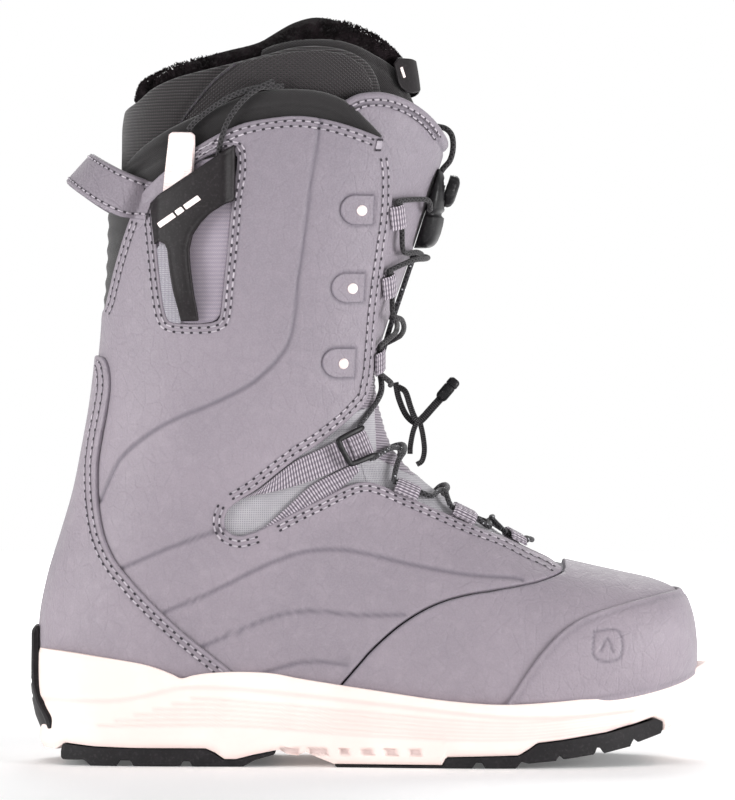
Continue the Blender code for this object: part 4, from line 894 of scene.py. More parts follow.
def build_quarters():
    """Both leather quarters with their seams and the patches round the rivets."""
    marks = grooves((S_CURVE, *ARCS), .85, .7)
    dees = [patch_line(*r) for r in RIVETS]

    def relief(x, z, d, ta):
        p = np.column_stack([x, z])
        h = marks(x, z)
        for dee in dees:
            m = np.hypot(*(p - dee.mean(0)).T) < 14
            h[m] -= .5 * np.exp(-(signed(p[m], dee)[0] / 1.0) ** 2)
        welt = np.exp(-((d - 3.3) / 1.5) ** 2) * .14
        wave = np.sin(x * .11 + z * .06) * np.sin(z * .05 - x * .03) * np.clip((d - 6) / 8, 0, 1)
        return h + welt + .3 * wave

    # painted shade: deep marks the embossed grooves and the outlines of the rivet patches, which the
    # leather darkens
    def tones(x, z, d, ta):
        p = np.column_stack([x, z])
        deep = -marks(x, z) / .7
        for dee in dees:
            m = np.hypot(*(p - dee.mean(0)).T) < 14
            e = signed(p[m], dee)[0]
            deep[m] = np.maximum(deep[m], np.exp(-(e / .9) ** 2))
        return {"deep": deep}
    for side, name in SIDES:
        angles = (-180, -.3) if side == LATERAL else (.3, 180)
        panel("shell_quarter_" + name, (4, 28), angles, shaped(quarter_line(), smooth(WINDOW, 4)),
              0, 2.4, LEATHER, relief=relief, dt=1 / 22, da=.8, tones=tones,
              replaces=("quarter_" + name,))
        for k, dee in enumerate(dees, 1):
            panel(f"rivet_patch_{name}_{k}", (12, 26), angles, shaped(dee), .35, .8, LEATHER,
                  round_edge=.45, dt=1 / 50, da=.35, bands=(.2, .45),
                  # painted shade: deep darkens the patch along its edge
                  tones=lambda x, z, d, ta: {"deep": .5 * np.exp(-(d / .4) ** 2)})
        for d in (2.1, 4.4):
            seam(inset(smooth(CUFF_TOP, 2), d)[2:-1], side, .02)
            front = chain(smooth(CUFF_FRONT, 2), smooth(NOTCH_TOP, 2)[1:])
            seam(inset(front, d)[1:], side, .02)
            seam(inset(smooth(NOTCH_END, 2), d), side, .02)
        t, a = locate(4.2, 262.4, side)
        for k in range(5):
            p0 = on(2.0 + .4 * k, 259.4, side, .3)
            p1 = on(2.8 + .4 * k, 263.4, side, .3)
            stitches(np.array([p0, (p0 + p1) / 2, p1]), np.tile(normals(t, a), (3, 1)), pitch=6,
                     length=4.2)
        for d in (1.9, 3.9):
            seam(inset(smooth(THROAT, 2), d)[:-1], side, .02)
            seam(inset(smooth(REAR_EDGE, 2), d)[2:-2], side, .02)
        frame_ = smooth(WINDOW, 2)
        d = np.gradient(frame_, axis=0)
        n = unit(np.column_stack([-d[:, 1], d[:, 0]]))
        n *= -np.sign((n * (frame_ - frame_.mean(0))).sum(1).mean())
        for d in (1.7, 3.8):
            seam((frame_ - n * d)[1:-1], side, .02)


def build_vamp():
    """Vamp, toe cap with its plain raised mark, and heel counter."""
    seam_line = smooth(SEAM[::-1], 5) + (.6, -.6)
    vamp = chain(seam_line[1:], ((82.6, 83.2), (82.6, 130), (170, 130)), foot_line(160, -10))

    def relief(x, z, d, ta):
        crease = .16 * np.sin(x * .55 + z * .2) * np.exp(-((x - 52) / 12) ** 2)
        return crease + .22 * np.sin(x * .09) * np.sin(z * .12)
    panel("shell_vamp", (0, 12), (-126, 126), shaped(vamp), 0, 2.4, LEATHER, relief=relief,
          dt=1 / 14, da=1.1, replaces=("vamp",),
          # painted shade: deep darkens the vamp along its edges, at the seam and the sole
          tones=lambda x, z, d, ta: {"deep": np.exp(-(d / .8) ** 2) * .8})
    cap = chain(smooth(CAP_EDGE, 6), ((170, 78),), foot_line(160, 60))
    mark = grooves((((93.6, 56.2), (93.6, 45.4), (104, 45.4), (104, 56.2), (93.6, 56.2)),
                    ((96.4, 48.2), (98.9, 53.4), (101.4, 48.2))), .5, .5)

    def cap_relief(x, z, d, ta):
        lat = np.where(from_front(ta[:, 1]) < 0, 1.0, 0.0)
        return (mark(x, z) * lat - .28 * np.exp(-((d - 2.6) / .8) ** 2)
                + .12 * np.sin(x * .1) * np.sin(z * .14))
    panel("shell_toe_cap", (0, 8), (-126, 126), shaped(cap), 1.7, 1.5, LEATHER, round_edge=1.1,
          relief=cap_relief, dt=1 / 16, da=1.0, replaces=("toe_cap",),
          # painted shade: deep darkens the toe mark's grooves and the groove along the cap's seam
          tones=lambda x, z, d, ta: {"deep": np.maximum(
              np.where(from_front(ta[:, 1]) < 0, -mark(x, z) / .5, 0),
              .35 * np.exp(-((d - 2.6) / .9) ** 2))})
    counter = chain(((-170, 173.4),), smooth(COUNTER_FRONT, 6), foot_line(-70, -160))
    panel("shell_heel_counter", (8, 22), (84, 276), shaped(counter), 1.7, 1.5, LEATHER,
          round_edge=1.1, dt=1 / 16, da=1.1, replaces=("heel_counter",),
          tones=lambda x, z, d, ta: {"deep": 0 * d})
    for side, _ in SIDES:
        for d in (2.2, 4.6):
            seam(inset(smooth(COUNTER_FRONT, 2), d)[1:-1], side, 1.75)


# ------------------------------------------------------------------------------- sole
def plan_loop(steps=60):
    """Closed plan outline of the sole and its outward directions, heel first."""
    s = np.linspace(0, 1, steps + 1)
    s = s - .09 * np.sin(4 * np.pi * s) / np.pi      # closer together at heel, waist and toe
    p = along(PLAN, s * (len(PLAN) - 1))
    loop = np.vstack([p[:, [0, 2]], p[-2:0:-1][:, [0, 1]]])
    loop = spline(np.column_stack([np.vstack([loop, loop[:1]]), np.zeros(len(loop) + 1)]), 1.0)
    loop = loop[:-1, :2]
    d = np.roll(loop, -1, 0) - np.roll(loop, 1, 0)
    n = unit(np.column_stack([d[:, 1], -d[:, 0]]))
    if (n * loop).sum() < 0:
        n = -n
    return loop, n


# Step in the side wall, and the fine ridges below it.
BAND = ((-150, 28), (-135, 28), (-110, 28), (-95, 30.3), (-80, 33.6), (-60, 33.4), (-30, 30.8),
        (10, 26.4), (60, 21.6), (100, 23), (130, 27), (150, 33))
RIDGES = tuple(((-116 + 8 * k, 16 + 2.4 * k), (-60, 16.6 + 2.1 * k), (0, 12.6 + 1.9 * k),
                (60, 11.4 + 1.35 * k), (110, 16 + 1.2 * k)) for k in range(6))


def build_midsole():
    """Cup sole: side wall with a step, ridges and slots, its lip and its underside."""
    loop, n = plan_loop()
    top = np.interp(loop[:, 0], *smooth(SOLE_TOP, 5).T)
    base = np.interp(loop[:, 0], *np.array(SOLE_BASE).T) + .1
    levels = np.linspace(0, 1, 44)
    x = np.broadcast_to(loop[:, 0], (len(levels), len(loop)))
    z = base + (top - base) * levels[:, None]
    tuck = np.interp(levels, (0, .04, .12, .3, .45, .8, .95, 1), (2.4, 1.5, .8, .2, 0, .2, .4, 1.0))
    off = -np.broadcast_to(tuck[:, None], x.shape).copy()
    off += 1.5 * (np.clip(levels / .6, 0, 1)[:, None] * np.clip((x - 55) / 50, 0, 1)) ** 1.5
    p = np.column_stack([x.ravel(), z.ravel()])
    # painted shade: deep darkens the foam below the step, in the fine ridges and in the slots
    deep = np.zeros(len(p))
    ridge = smooth(BAND, 6)
    d = signed(p, ridge, closed=False)[0]
    below = np.interp(p[:, 0], ridge[:, 0], ridge[:, 1]) > p[:, 1]
    shelf = np.where(below, np.clip(d / 2.2, 0, 1), 0).reshape(x.shape)
    off -= .9 * shelf * np.clip((z - base - 3) / 6, 0, 1)
    deep = np.maximum(deep, np.where(below, np.exp(-((d - 1.2) / 1.0) ** 2), 0) * .5)
    for line in RIDGES:
        near = np.exp(-(signed(p, smooth(line, 5), closed=False)[0] / .7) ** 2)
        deep = np.maximum(deep, near * .55)
        off -= (.5 * near).reshape(x.shape)
    for x0, x1 in ((-13, -9), (-4, 1), (6, 11), (16, 21), (-38, -30), (-26, -18)):
        slot = ((x0, 3.4), (x1, 3.4), (x1 - .4, 6), (x0 - .4, 6))
        d = signed(p, np.array(slot) + (0, 1.2))[0]
        near = np.clip(d / .6 + .5, 0, 1)
        deep = np.maximum(deep, near)
        off -= (1.6 * near).reshape(x.shape)
    wall = np.dstack([loop[None] + n[None] * off[..., None], z])
    lip = [np.dstack([(loop - n * i)[None], (top + h)[None]])
           for i, h in ((3.4, .1), (5.4, -.6), (7.0, -3.0))]
    sole = [np.dstack([(loop - n * i)[None], (base + h)[None]]) for i, h in ((9, .2), (4.2, -.05))]
    rows = np.concatenate(sole + [wall] + lip)
    deep = deep.reshape(x.shape)
    pad = np.zeros((1, x.shape[1]))
    deep = np.concatenate([pad] * 2 + [deep] + [pad] * 3)
    m = len(loop)
    faces = grid_faces(len(rows), m, ring=True).tolist()
    # floor of the sole, a strip between the two sides
    faces += [[i, i + 1, m - i - 1, m - i] for i in range(1, m // 2 - 1)]
    ob = solid("sole_midsole", rows, faces, FOAM, tones={"deep": deep}, sharp=40)
    finish(ob, ("midsole",))


def build_treads():
    """Two treads: their side outline carried across, with lugs cut at the edge."""
    loop = plan_loop()[0]
    for name, outline in (("heel", HEEL_TREAD), ("forefoot", FORE_TREAD)):
        line = np.array(outline)
        lo, hi = line[:, 0].min() + .4, line[:, 0].max() - .4
        xs = np.arange(lo, hi, .8)
        # top and bottom heights of the outline at each station
        tops, bots = [], []
        for x in xs:
            zs = []
            for (x0, z0), (x1, z1) in zip(line, np.roll(line, -1, 0)):
                if (x0 - x) * (x1 - x) <= 0 and x0 != x1:
                    zs.append(z0 + (z1 - z0) * (x - x0) / (x1 - x0))
            tops.append(max(zs))
            bots.append(min(zs))
        tops, bots = np.array(tops), np.array(bots)
        half = len(loop) // 2
        a, b = loop[:half + 1], loop[half:][::-1]
        if a[:, 1].mean() < b[:, 1].mean():
            a, b = b, a
        order = np.argsort(a[:, 0]), np.argsort(b[:, 0])
        ya = np.interp(xs, a[order[0], 0], a[order[0], 1]) - 1.9
        yb = np.interp(xs, b[order[1], 0], b[order[1], 1]) + 1.9
        v = np.linspace(0, 1, 61)
        y = yb[:, None] + (ya - yb)[:, None] * v
        x = np.broadcast_to(xs[:, None], y.shape)
        edge = np.minimum(y - yb[:, None], ya[:, None] - y)
        cut = (np.abs((y + .35 * x) / 9 % 1 - .5) < .09) | (np.abs((y - .35 * x) / 9 % 1 - .5) < .09)
        cut &= (edge > 3) & (edge < 15)
        middle = np.abs(y - (ya + yb)[:, None] / 2) < .8
        bottom = bots[:, None] + np.where(cut | middle, 1.1, 0) + .5 * np.exp(-edge / .5)
        bottom = np.minimum(bottom, tops[:, None] - .15)
        under = np.dstack([x, y, bottom])
        over = np.dstack([x, y, np.broadcast_to(tops[:, None], y.shape)])
        ob = solid(f"sole_{name}_tread", *plate(under, over), TREAD, sharp=30)
        finish(ob, (name + "_outsole",))


def build_bumper():
    """Black heel plate, wide at its foot, with a raised frame round a smooth field."""
    z = np.linspace(5.6, 57.4, 60)
    inner = np.interp(z, [4, 7, 11, 15, 19, 25, 48, 57.5],
                      [-135.2, -136.6, -138.4, -140.2, -141.6, -142.9, -143.7, -143.3])
    outer = np.interp(z, [4, 7, 11, 15, 19, 25, 32, 54, 57.5],
                      [-136.6, -139, -141.2, -143, -144.6, -145.9, -146.5, -146.1, -144.5])
    half = np.interp(z, [4, 11, 19, 25, 32, 40, 57.5], [15, 24, 26, 20, 15, 12, 11])
    soften = np.array([1, 2, 3, 2, 1]) / 9
    half = np.convolve(np.pad(half, 2, mode="edge"), soften, "valid")
    v = np.linspace(-1, 1, 61)
    y = half[:, None] * v
    edge = np.minimum((1 - np.abs(v))[None] * half[:, None], np.minimum(z - z[0], z[-1] - z)[:, None])
    swell = .5 * np.clip(edge / 1.5, 0, 1) - .45 * np.clip((edge - 3) / .8, 0, 1) - .5
    ribs = -.35 * (np.abs((z[:, None] - 24) % 6 - 3) < .8) * (edge > 4.6) * (z[:, None] > 22)
    bend = .0103 * y * y
    zz = np.broadcast_to(z[:, None], y.shape)
    front = np.dstack([inner[:, None] + bend, y, zz])
    back = np.dstack([outer[:, None] + bend - swell - ribs - .1, y, zz])
    ob = solid("sole_heel_bumper", *plate(front, back), RUBBER, sharp=35)
    finish(ob, ("heel_bumper",))


# ------------------------------------------------------------------------ soft uppers
def threads(x, z, d, ta):
    """Places of a stretch cloth's threads, round the boot and upwards, in mm."""
    return {"su": from_front(ta[:, 1]) * .92, "sv": z}


def build_rear():
    """Stretch gusset between the quarters at the rear."""
    line = chain(((-135, 190.6), (-117.4, 190.6)), smooth(REAR_EDGE[1:], 4) + (2.5, 1),
                 ((-96, 246), (-135, 238)))
    panel("rear_stretch_gusset", (19, 25), (118, 242), shaped(line), -.5, 1.6, NEOPRENE,
          round_edge=.5, relief=lambda x, z, d, ta: .28 * np.sin(z * .9) * np.clip(d / 3, 0, 1),
          dt=1 / 18, tones=threads, replaces=("rear_gusset",))


def build_collar():
    """Padded collar above the cuff, with a stitched-down line."""
    line = chain(((-135, 236), (-100, 243), (-88, 249), (-60, 255), (-30, 258), (-4, 252)),
                 ((3, 259), (6, 265)), smooth(COLLAR_TOP[::-1], 5), ((-135, 249),))
    seam_ = smooth(((-118, 245), (-100, 255.5), (-84, 263.6), (-68, 271), (-52, 275.6),
                    (-40, 277.6), (-28, 277.8), (-16, 275.6), (-6, 270), (1, 262)), 5)

    def relief(x, z, d, ta):
        e = signed(np.column_stack([x, z]), seam_, closed=False)[0]
        fold = .22 * np.sin(x * .22 + z * .35) * np.exp(-((d - 9) / 6) ** 2)
        return .9 * np.sin(np.clip(d / 7, 0, 1) * np.pi) ** .8 - .5 * np.exp(-(e / .7) ** 2) + fold
    ob = panel("collar_padding_cuff", (22, 28.4), (50, 310), shaped(line), -2.5, 2.2, NEOPRENE,
               round_edge=1.2, relief=relief, dt=1 / 16, tones=threads,
               replaces=("collar_padding",))


def build_tongue():
    """The tongue's leather, knit and cloth, and the cloth in the ankle notches."""
    top = smooth(TONGUE_TOP[::-1], 4)
    line = chain(((-16, 278), (-8, 268), (-1, 258), (1.6, 247), (1.2, 233), (-2, 210), (-5, 180),
                  (-6.4, 165.4)), ((45, 165.4), (60, 240)), top)

    def relief(x, z, d, ta):
        edge = signed(np.column_stack([x, z]), top, closed=False)[0]
        g = np.exp(-((edge - 4.7) / .6) ** 2)
        lip = .55 * np.clip(1 - np.abs(edge - 2.1) / 2.4, 0, 1)
        return 1.5 * lip - .7 * g + .5 * np.clip((edge - 6) / 14, 0, 1) * np.sin(np.clip(
            (z - 168) / 110, 0, 1) * np.pi) + .12 * np.sin(z * .21) * np.sin(ta[:, 1] * .08)
    panel("tongue_upper_leather", (14, 28.2), (-90, 90), shaped(line), -3.0, 2.2, LEATHER,
          round_edge=1.1, relief=relief, dt=1 / 15, da=1.1,
          # painted shade: deep darkens the groove below the tongue's top edge
          replaces=("tongue_upper",), tones=lambda x, z, d, ta: {"deep": .8 * np.exp(-((signed(
              np.column_stack([x, z]), top, closed=False)[0] - 4.7) / .6) ** 2)})
    row = smooth(TONGUE_TOP, 3)
    for side, _ in SIDES:
        for d, lift in ((3.6, -2.0), (5.9, -2.6)):
            seam(inset(row, d)[4:-2], side, lift, pitch=3.4)
    knit = ((-8.6, 167.6), (-10, 153), (-4.4, 139), (0, 128), (18, 121.6), (45, 121.6), (45, 167.6))
    panel("tongue_flex_knit", (9, 17), (-80, 80), shaped(knit), -3.1, 1.8, KNIT, round_edge=.6,
          relief=lambda x, z, d, ta: .35 * np.sin(z * 1.15) ** 2, tones=threads, dt=1 / 20,
          da=1.1, replaces=("tongue_flex_panel",))
    low = ((-6, 138), (-1, 118), (8, 107), (28, 98), (44, 91), (60, 85.6), (68.5, 82), (92, 84),
           (92, 124), (18, 124), (0, 132))
    panel("tongue_lower_cloth", (6, 14), (-80, 80), shaped(low), -2.5, 1.8, CLOTH, round_edge=.6,
          relief=lambda x, z, d, ta: .3 * np.sin(x * .16) * np.cos(ta[:, 1] * .07),
          replaces=("tongue_lower",), dt=1 / 14)
    notch = ((4, 152), (-14, 146), (-44, 124), (-66, 112), (-68, 97), (-52, 90), (-20, 106), (4, 112))
    for side, name in SIDES:
        angles = (-130, -8) if side == LATERAL else (8, 130)
        panel("notch_cloth_" + name, (7, 17), angles, shaped(notch), -2.55, .5, CLOTH,
              round_edge=.3, relief=lambda x, z, d, ta: .25 * np.sin(x * .2 + z * .1),
              dt=1 / 10, da=1.4)


def build_liner():
    """Ribbed liner with mesh fronts, and its padded tongue."""
    rim_ = smooth(LINER_RIM, 5)
    body_ = chain(((-170, 279), (-170, 10), (200, 10), (200, 174), (-6, 174), (-4, 196), (2.6, 230),
                   (7.6, 262)), rim_[::-1])
    seam_ = smooth(((-92, 255), (-84, 272), (-76, 282.5), (-68, 291), (-60, 297)), 5)

    def puff(x, z, d, ta):
        e = signed(np.column_stack([x, z]), seam_, closed=False)[0]
        return 1.1 * np.sqrt(np.clip(d / 9, 0, 1)) - .9 - .55 * np.exp(-(e / 1.0) ** 2)
    ob = panel("liner_body_shell", (2, 29.6), (-180, 180), shaped(body_), -5.9, 4.6, RIBS,
               round_edge=1.4, relief=puff, table=LINER, dt=1 / 8, da=1.6, tones=threads,
               replaces=("liner_body",))
    front = chain(seam_ + (.8, -.4), ((-46, 299.6), (-32, 302), (-20, 302.6), (-9, 301), (-1, 296.6),
                                      (3, 290), (5, 280), (4, 262), (0, 240), (-96, 240)))
    for side, name in SIDES:
        angles = (-160, -25) if side == LATERAL else (25, 160)
        panel("liner_mesh_" + name, (20, 29.6), angles, shaped(front), -5.3, 1.0, MESH,
              round_edge=.6, table=LINER, dt=1 / 14, da=1.2, tones=threads,
              relief=lambda x, z, d, ta: .9 * np.sqrt(np.clip(d / 10, 0, 1)) - .5)
        dash = smooth(seam_[::5] + (1.6, -1.2), 2)
        seam(dash, side, -5.0, LINER, pitch=3.2, store=(DARK_V, DARK_F, HOLE_SHADE_V, HOLE_SHADE_F), rise=.2)
    flap = chain(((-47, 200), (8, 176), (70, 176)), smooth(TONGUE_RIM[::-1], 5), ((-47, 303.6),))

    def wrap(x, z, d, ta):
        turn = np.abs(from_front(ta[:, 1]))
        return -6.3 - 4.4 * np.clip((turn - 14) / 30, 0, 1)
    ob = panel("liner_tongue_flap", (18, 29.8), (-112, 112), shaped(flap), wrap, 2.2, FELT,
               round_edge=1.2, table=LINER, dt=1 / 12, da=1.3, tones=threads,
               relief=lambda x, z, d, ta: .8 * np.sqrt(np.clip(d / 8, 0, 1)) - .8
               - .5 * np.exp(-((d - 5) / .7) ** 2), replaces=("liner_tongue",))


def build_badge():
    """Piped patch at the front of the liner with a plain mark."""
    patch = smooth(((14.6, 298), (15.6, 294), (16.6, 289.6), (18.8, 286.8), (23, 285.4),
                    (28, 288), (28, 300), (17, 301)), 4)
    for side, name in SIDES:
        angles = (-80, -.5) if side == LATERAL else (.5, 80)
        panel("liner_badge_" + name, (24, 30), angles, shaped(patch), -6.5, .8, RUBBER,
              round_edge=.5, table=LINER, dt=1 / 24, da=1.0)
        bar = ((17.2, 296.4), (18.8, 291.8), (20.0, 292.3), (18.4, 296.9))
        panel("liner_badge_mark_" + name, (24, 30), angles, shaped(bar), -6.3, .3, PALE,
              round_edge=.15, table=LINER, dt=1 / 40, da=.5, bands=(.15,))


def fleece_level(a):
    """Height of the fleece ring over the liner's form, lower beside the tongue."""
    return -11.0 - 1.6 * np.clip((126 - np.abs(from_front(a))) / 30, 0, 1)


def build_fleece():
    """Fleece lining: a ring of cloth and thousands of curved hairs on it."""
    line = chain(((-160, 246), (80, 246), (80, 290)), smooth(FLEECE_RIM[::-1], 5), ((-160, 279),))
    tall = chain(((-160, 246), (80, 246), (80, 290)), smooth(FLEECE_RIM[::-1], 5) + (0, 2.6),
                 ((-160, 282),))
    ob = panel("liner_fleece_ring", (24.6, 30.6), (-180, 180), shaped(tall),
               lambda x, z, d, ta: fleece_level(ta[:, 1]), 3.8, FUR, round_edge=1.5,
               table=LINER, dt=1 / 8, da=2.0,
               replaces=("liner_fleece",))
    n = int(44000 * FINE)
    t, a = RNG.uniform(25, 30, n), RNG.uniform(-180, 180, n)
    t = np.concatenate([t, RNG.uniform(27.5, 30, n)])
    a = np.concatenate([a, RNG.uniform(-180, 180, n)])
    inner = np.arange(len(t)) < n
    p = form(t, a, -11, LINER)
    d = signed(p[:, [0, 2]], line)[0]
    m = (d > .15) & (inner | (d < 8.5)) & (~inner | (RNG.random(len(t)) < .55))
    t, a, d, inner = t[m], a[m], d[m], inner[m]
    out = fleece_level(a)
    level = np.where(inner, out - 3.7, out - .1 - .9 * np.exp(-d / 1.2))
    root = form(t, a, level, LINER)
    nor = normals(t, a, LINER) * np.where(inner, -1, 1)[:, None]
    up = unit(form(t + .1, a, -11, LINER) - form(t, a, -11, LINER))
    side = np.cross(nor, up)
    rise = np.exp(-d / 2.2)[:, None]
    drift = .5 * np.sin(a * .11 + t * 3)[:, None] + RNG.normal(0, .35, (len(t), 1))
    way = nor * (1 - .55 * rise) + up * (.25 + 1.1 * rise) + side * drift \
        + RNG.normal(0, .22, (len(t), 3))
    way = unit(way)
    long_ = (RNG.uniform(.9, 1.7, len(t)) * np.where(inner, .9, 1.0))[:, None]
    bend = side * RNG.normal(0, .5, (len(t), 1)) - np.array((0, 0, .35))
    w = unit(np.cross(way, side))
    s = np.cross(way, w)
    rows = []
    for f, r in ((0, .3), (.4, .28), (.75, .2), (1, .07)):
        c = root + way * long_ * f + bend * (f * f) * long_ * .45
        for k in range(3):
            ang = k * 2 * np.pi / 3
            rows.append(c + (w * np.cos(ang) + s * np.sin(ang)) * r)
    n = len(root)
    k = np.arange(n)
    faces = [np.column_stack([k + (i * 3 + j) * n, k + (i * 3 + (j + 1) % 3) * n,
                              k + (i * 3 + 3 + (j + 1) % 3) * n, k + (i * 3 + 3 + j) * n])
             for i in range(3) for j in range(3)]
    ob = solid("liner_fleece_pile", np.concatenate(rows), np.concatenate(faces), FUR_TIPS, sharp=0)
    finish(ob)


# ------------------------------------------------------------------ pockets and loops
def build_pockets():
    """Side pockets: cloth and strip behind, a rubber bridge, the handle and its cord."""
    line = ((-92.6, 237), (-57, 261.4), (-57, 250), (-57.2, 237.8), (-61, 236.2), (-66.4, 232.8),
            (-70.6, 228.6), (-74, 223.4), (-75.4, 217.4), (-75, 210), (-72.4, 187.2),
            (-79.8, 187), (-83, 206), (-84.2, 217.4), (-85.2, 219.6), (-87.6, 220.9),
            (-90.2, 219.4), (-91.6, 228))
    mark = (((-88, 228.3), (-81.6, 232.9), (-80.2, 231.0), (-86.6, 226.4)),
            ((-80.9, 233.4), (-78.2, 235.4), (-76.8, 233.5), (-79.5, 231.5)),
            ((-77.5, 235.9), (-71.6, 240.1), (-70.2, 238.2), (-76.1, 234.0)))
    for side, name in SIDES:
        angles = (-178, -60) if side == LATERAL else (60, 178)
        panel("pocket_twill_" + name, (16, 27), angles, shaped(WINDOW), -1.5, .7,
              TWILL, round_edge=.3, dt=1 / 8, da=1.6,
              replaces=("pocket_backing_" + name,))
        strip = ((-91, 190), (-91.4, 214), (-90, 219), (-87.5, 221.4), (-84.4, 219), (-83, 210),
                 (-79.4, 188), (-86, 186.6))
        panel("pocket_strip_" + name, (16, 24), angles, shaped(smooth(strip, 3)), -.4, .9, PALE_WEB,
              round_edge=.4, dt=1 / 16, da=1.0,
              tones=lambda x, z, d, ta: {"run": z, "across": x})

        def lift(x, z, d, ta):
            f = (np.clip((x + 92.6) / 6, 0, 1) * np.clip((-56.6 - x) / 5, 0, 1)
                 * np.clip((z - 187) / 14, 0, 1))
            return 1.8 + .4 + 2.8 * f * f * (3 - 2 * f)
        panel("pocket_bridge_" + name, (16, 27), angles, shaped(line), lift, 1.8, RUBBER,
              round_edge=.9, dt=1 / 22, da=.7,
              relief=lambda x, z, d, ta: -.18 * np.exp(-((d - 1.7) / .5) ** 2),
              replaces=("pocket_retainer_" + name,))
        for k, bar in enumerate(mark, 1):
            panel(f"bridge_mark_{name}_{k}", (19, 25), angles, shaped(bar),
                  lambda x, z, d, ta: lift(x, z, d, ta) + .22, .3, PALE, round_edge=.15, dt=1 / 40,
                  da=.4, bands=(.15,))
        build_handle(side, name)
        ends = [(-76.6, 267.6, .9), (-74.4, 270.4, .9), (-70, 274.2, .8), (-62, 279.8, .6),
                (-55, 283.2, .3), (-48, 285.2, -.2), (-42, 285.8, -1.6), (-37, 286.2, -3.8)]
        path = spline([on(x, z, side, o) for x, z, o in ends], .9)
        t, a = locate(path[:, 0], path[:, 2], side)
        ob = sweep("handle_cord_fore_" + name, path, normals(t, a), circle(1.15, 12), CORD, None,
                   replaces=("handle_cord_" + name,))
        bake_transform(ob)
        ends = [(-66, 250, -.6), (-64.4, 256, .2), (-63, 262, 1.4), (-60.6, 269.6, 1.5),
                (-56.4, 276.6, 1.0), (-51, 282.2, .8), (-46, 285.6, .2), (-41, 288, -1.6)]
        path = spline([on(x, z, side, o) for x, z, o in ends], .9)
        t, a = locate(path[:, 0], path[:, 2], side)
        sweep("handle_cord_rear_" + name, path, normals(t, a), circle(1.15, 12), CORD)


def build_handle(side, name):
    """Pull handle: a flat moulded tab with fine ribs down both edges."""
    rungs = ((-84.0, -74.6, 267), (-84.9, -73.9, 265.4), (-85.2, -73.8, 262), (-86.6, -74.4, 250),
             (-87.6, -75.2, 240), (-86.6, -77, 232), (-84.6, -78, 220), (-83.4, -78, 206.2))
    top, foot = on(-79.2, 262, side, .6), on(-80.7, 206, side, .6)
    up = unit(top - foot)
    fore = on(-74, 240, side, 0) - on(-87, 240, side, 0)
    fore = unit(fore - up * fore.dot(up))
    out = np.cross(fore, up)
    out *= np.sign(out[1]) * side
    r = np.array(rungs)[::-1]
    z = np.arange(206.4, 266.9, .22)
    x0, x1 = np.interp(z, r[:, 2], r[:, 0]), np.interp(z, r[:, 2], r[:, 1])
    round_ = np.clip((266.9 - z) / 2.2, 0, 1)
    pinch = 1.6 * (1 - np.sqrt(1 - (1 - round_) ** 2))
    x0, x1 = x0 + pinch, x1 - pinch
    v = np.linspace(0, 1, 31)
    mid = foot + up * ((z - 206) / up[2])[:, None]
    x = x0[:, None] + (x1 - x0)[:, None] * v
    p = mid[:, None] + fore * ((x - mid[:, 0][:, None]) / fore[0])[..., None]
    edge = np.minimum(x - x0[:, None], x1[:, None] - x)
    end = np.minimum(np.minimum(266.9 - z, z - 206.4)[:, None], edge)
    crown_ = 1.0 * np.sqrt(np.clip(1 - (1 - np.clip(end / .8, 0, 1)) ** 2, 0, 1))
    rib = (np.sin(z * 2 * np.pi / 1.25)[:, None] > .1) & (edge < 3.6) & (edge > .5) & (z[:, None] > 222)
    h = crown_ + 1.0 - .34 * rib - .16 * ((edge > 3.6) & (z[:, None] > 222))
    front, back = p + out * h[..., None], p + out * (.25 - .25 * crown_ + .25)[..., None]
    node = "pull_handle_" + name
    ob = solid("pull_tab_" + name, *plate(front, back), TAB, node, sharp=28)
    finish(ob, (node,))


def build_pull_loop():
    """Leather loop round the rear, sewn to both quarters: x y z, half widths in x and z."""
    path = [(-92, -36.6, 238, 6, 16), (-97, -36.0, 238.8, 6, 16.4), (-103, -35.2, 240.2, 7, 17),
            (-110, -32.4, 243.4, 8.8, 16), (-117, -25.4, 247.6, 10.2, 14.6),
            (-122.8, -13.6, 251.6, 11.2, 13.2), (-124.8, 0, 253.2, 11.5, 12.6)]
    path += [(x, -y, z, wx, wz) for x, y, z, wx, wz in path[-2::-1]]
    for k, side in ((0, -1), (1, -1), (-1, 1), (-2, 1)):
        x, _, z, wx, wz = path[k]
        path[k] = (x, on(x, z, side, -1.6)[1], z, wx, wz)
    p = smooth(path, 10)
    c, w = p[:, :3], np.stack([p[:, 3], 0 * p[:, 3], p[:, 4]], -1)
    d = np.gradient(c, axis=0)
    n = unit(np.cross(d, w))
    n *= np.sign((n * (c - (-60, 0, 240))).sum(1))[:, None]
    long_ = np.linalg.norm(w, axis=1)
    v = np.linspace(-.5, .5, 25)
    edge = (.5 - np.abs(v))[None] * long_[:, None]
    h = 1.25 * np.sqrt(np.clip(1 - (1 - np.clip(edge / 1.0, 0, 1)) ** 2, 0, 1))
    g = np.exp(-((edge - 2.4) / .5) ** 2)
    out = c[:, None] + w[:, None] * v[None, :, None] + n[:, None] * (h - .22 * g)[..., None]
    back = c[:, None] + w[:, None] * v[None, :, None] - n[:, None] * (.9 * h)[..., None]
    # painted shade: deep darkens the groove along each side of the loop, and edge gives the darker band at
    # its cut edges
    tones = {"deep": np.concatenate([(.5 * g).ravel(), np.zeros(g.size)]),
             "edge": np.concatenate([edge.ravel()] * 2)}
    ob = solid("pull_loop_strap", *plate(out, back, ends=False), LEATHER, tones=tones, sharp=0)
    finish(ob, ("pull_loop",))
    for s in (-1, 1):
        k = s * (.5 - 2.3 / long_)
        stitches(c + w * k[:, None] + n * 1.05, n, pitch=3.7)


# ------------------------------------------------------------------- lacing hardware
EYE = .3                              # height of a lace's way through an eye over the form
SLIDER = np.array((-1.2, -.4))        # shift of the ladder sliders in x and z
RELEASE = 5.4                         # shift of the release loop and tab towards the toe


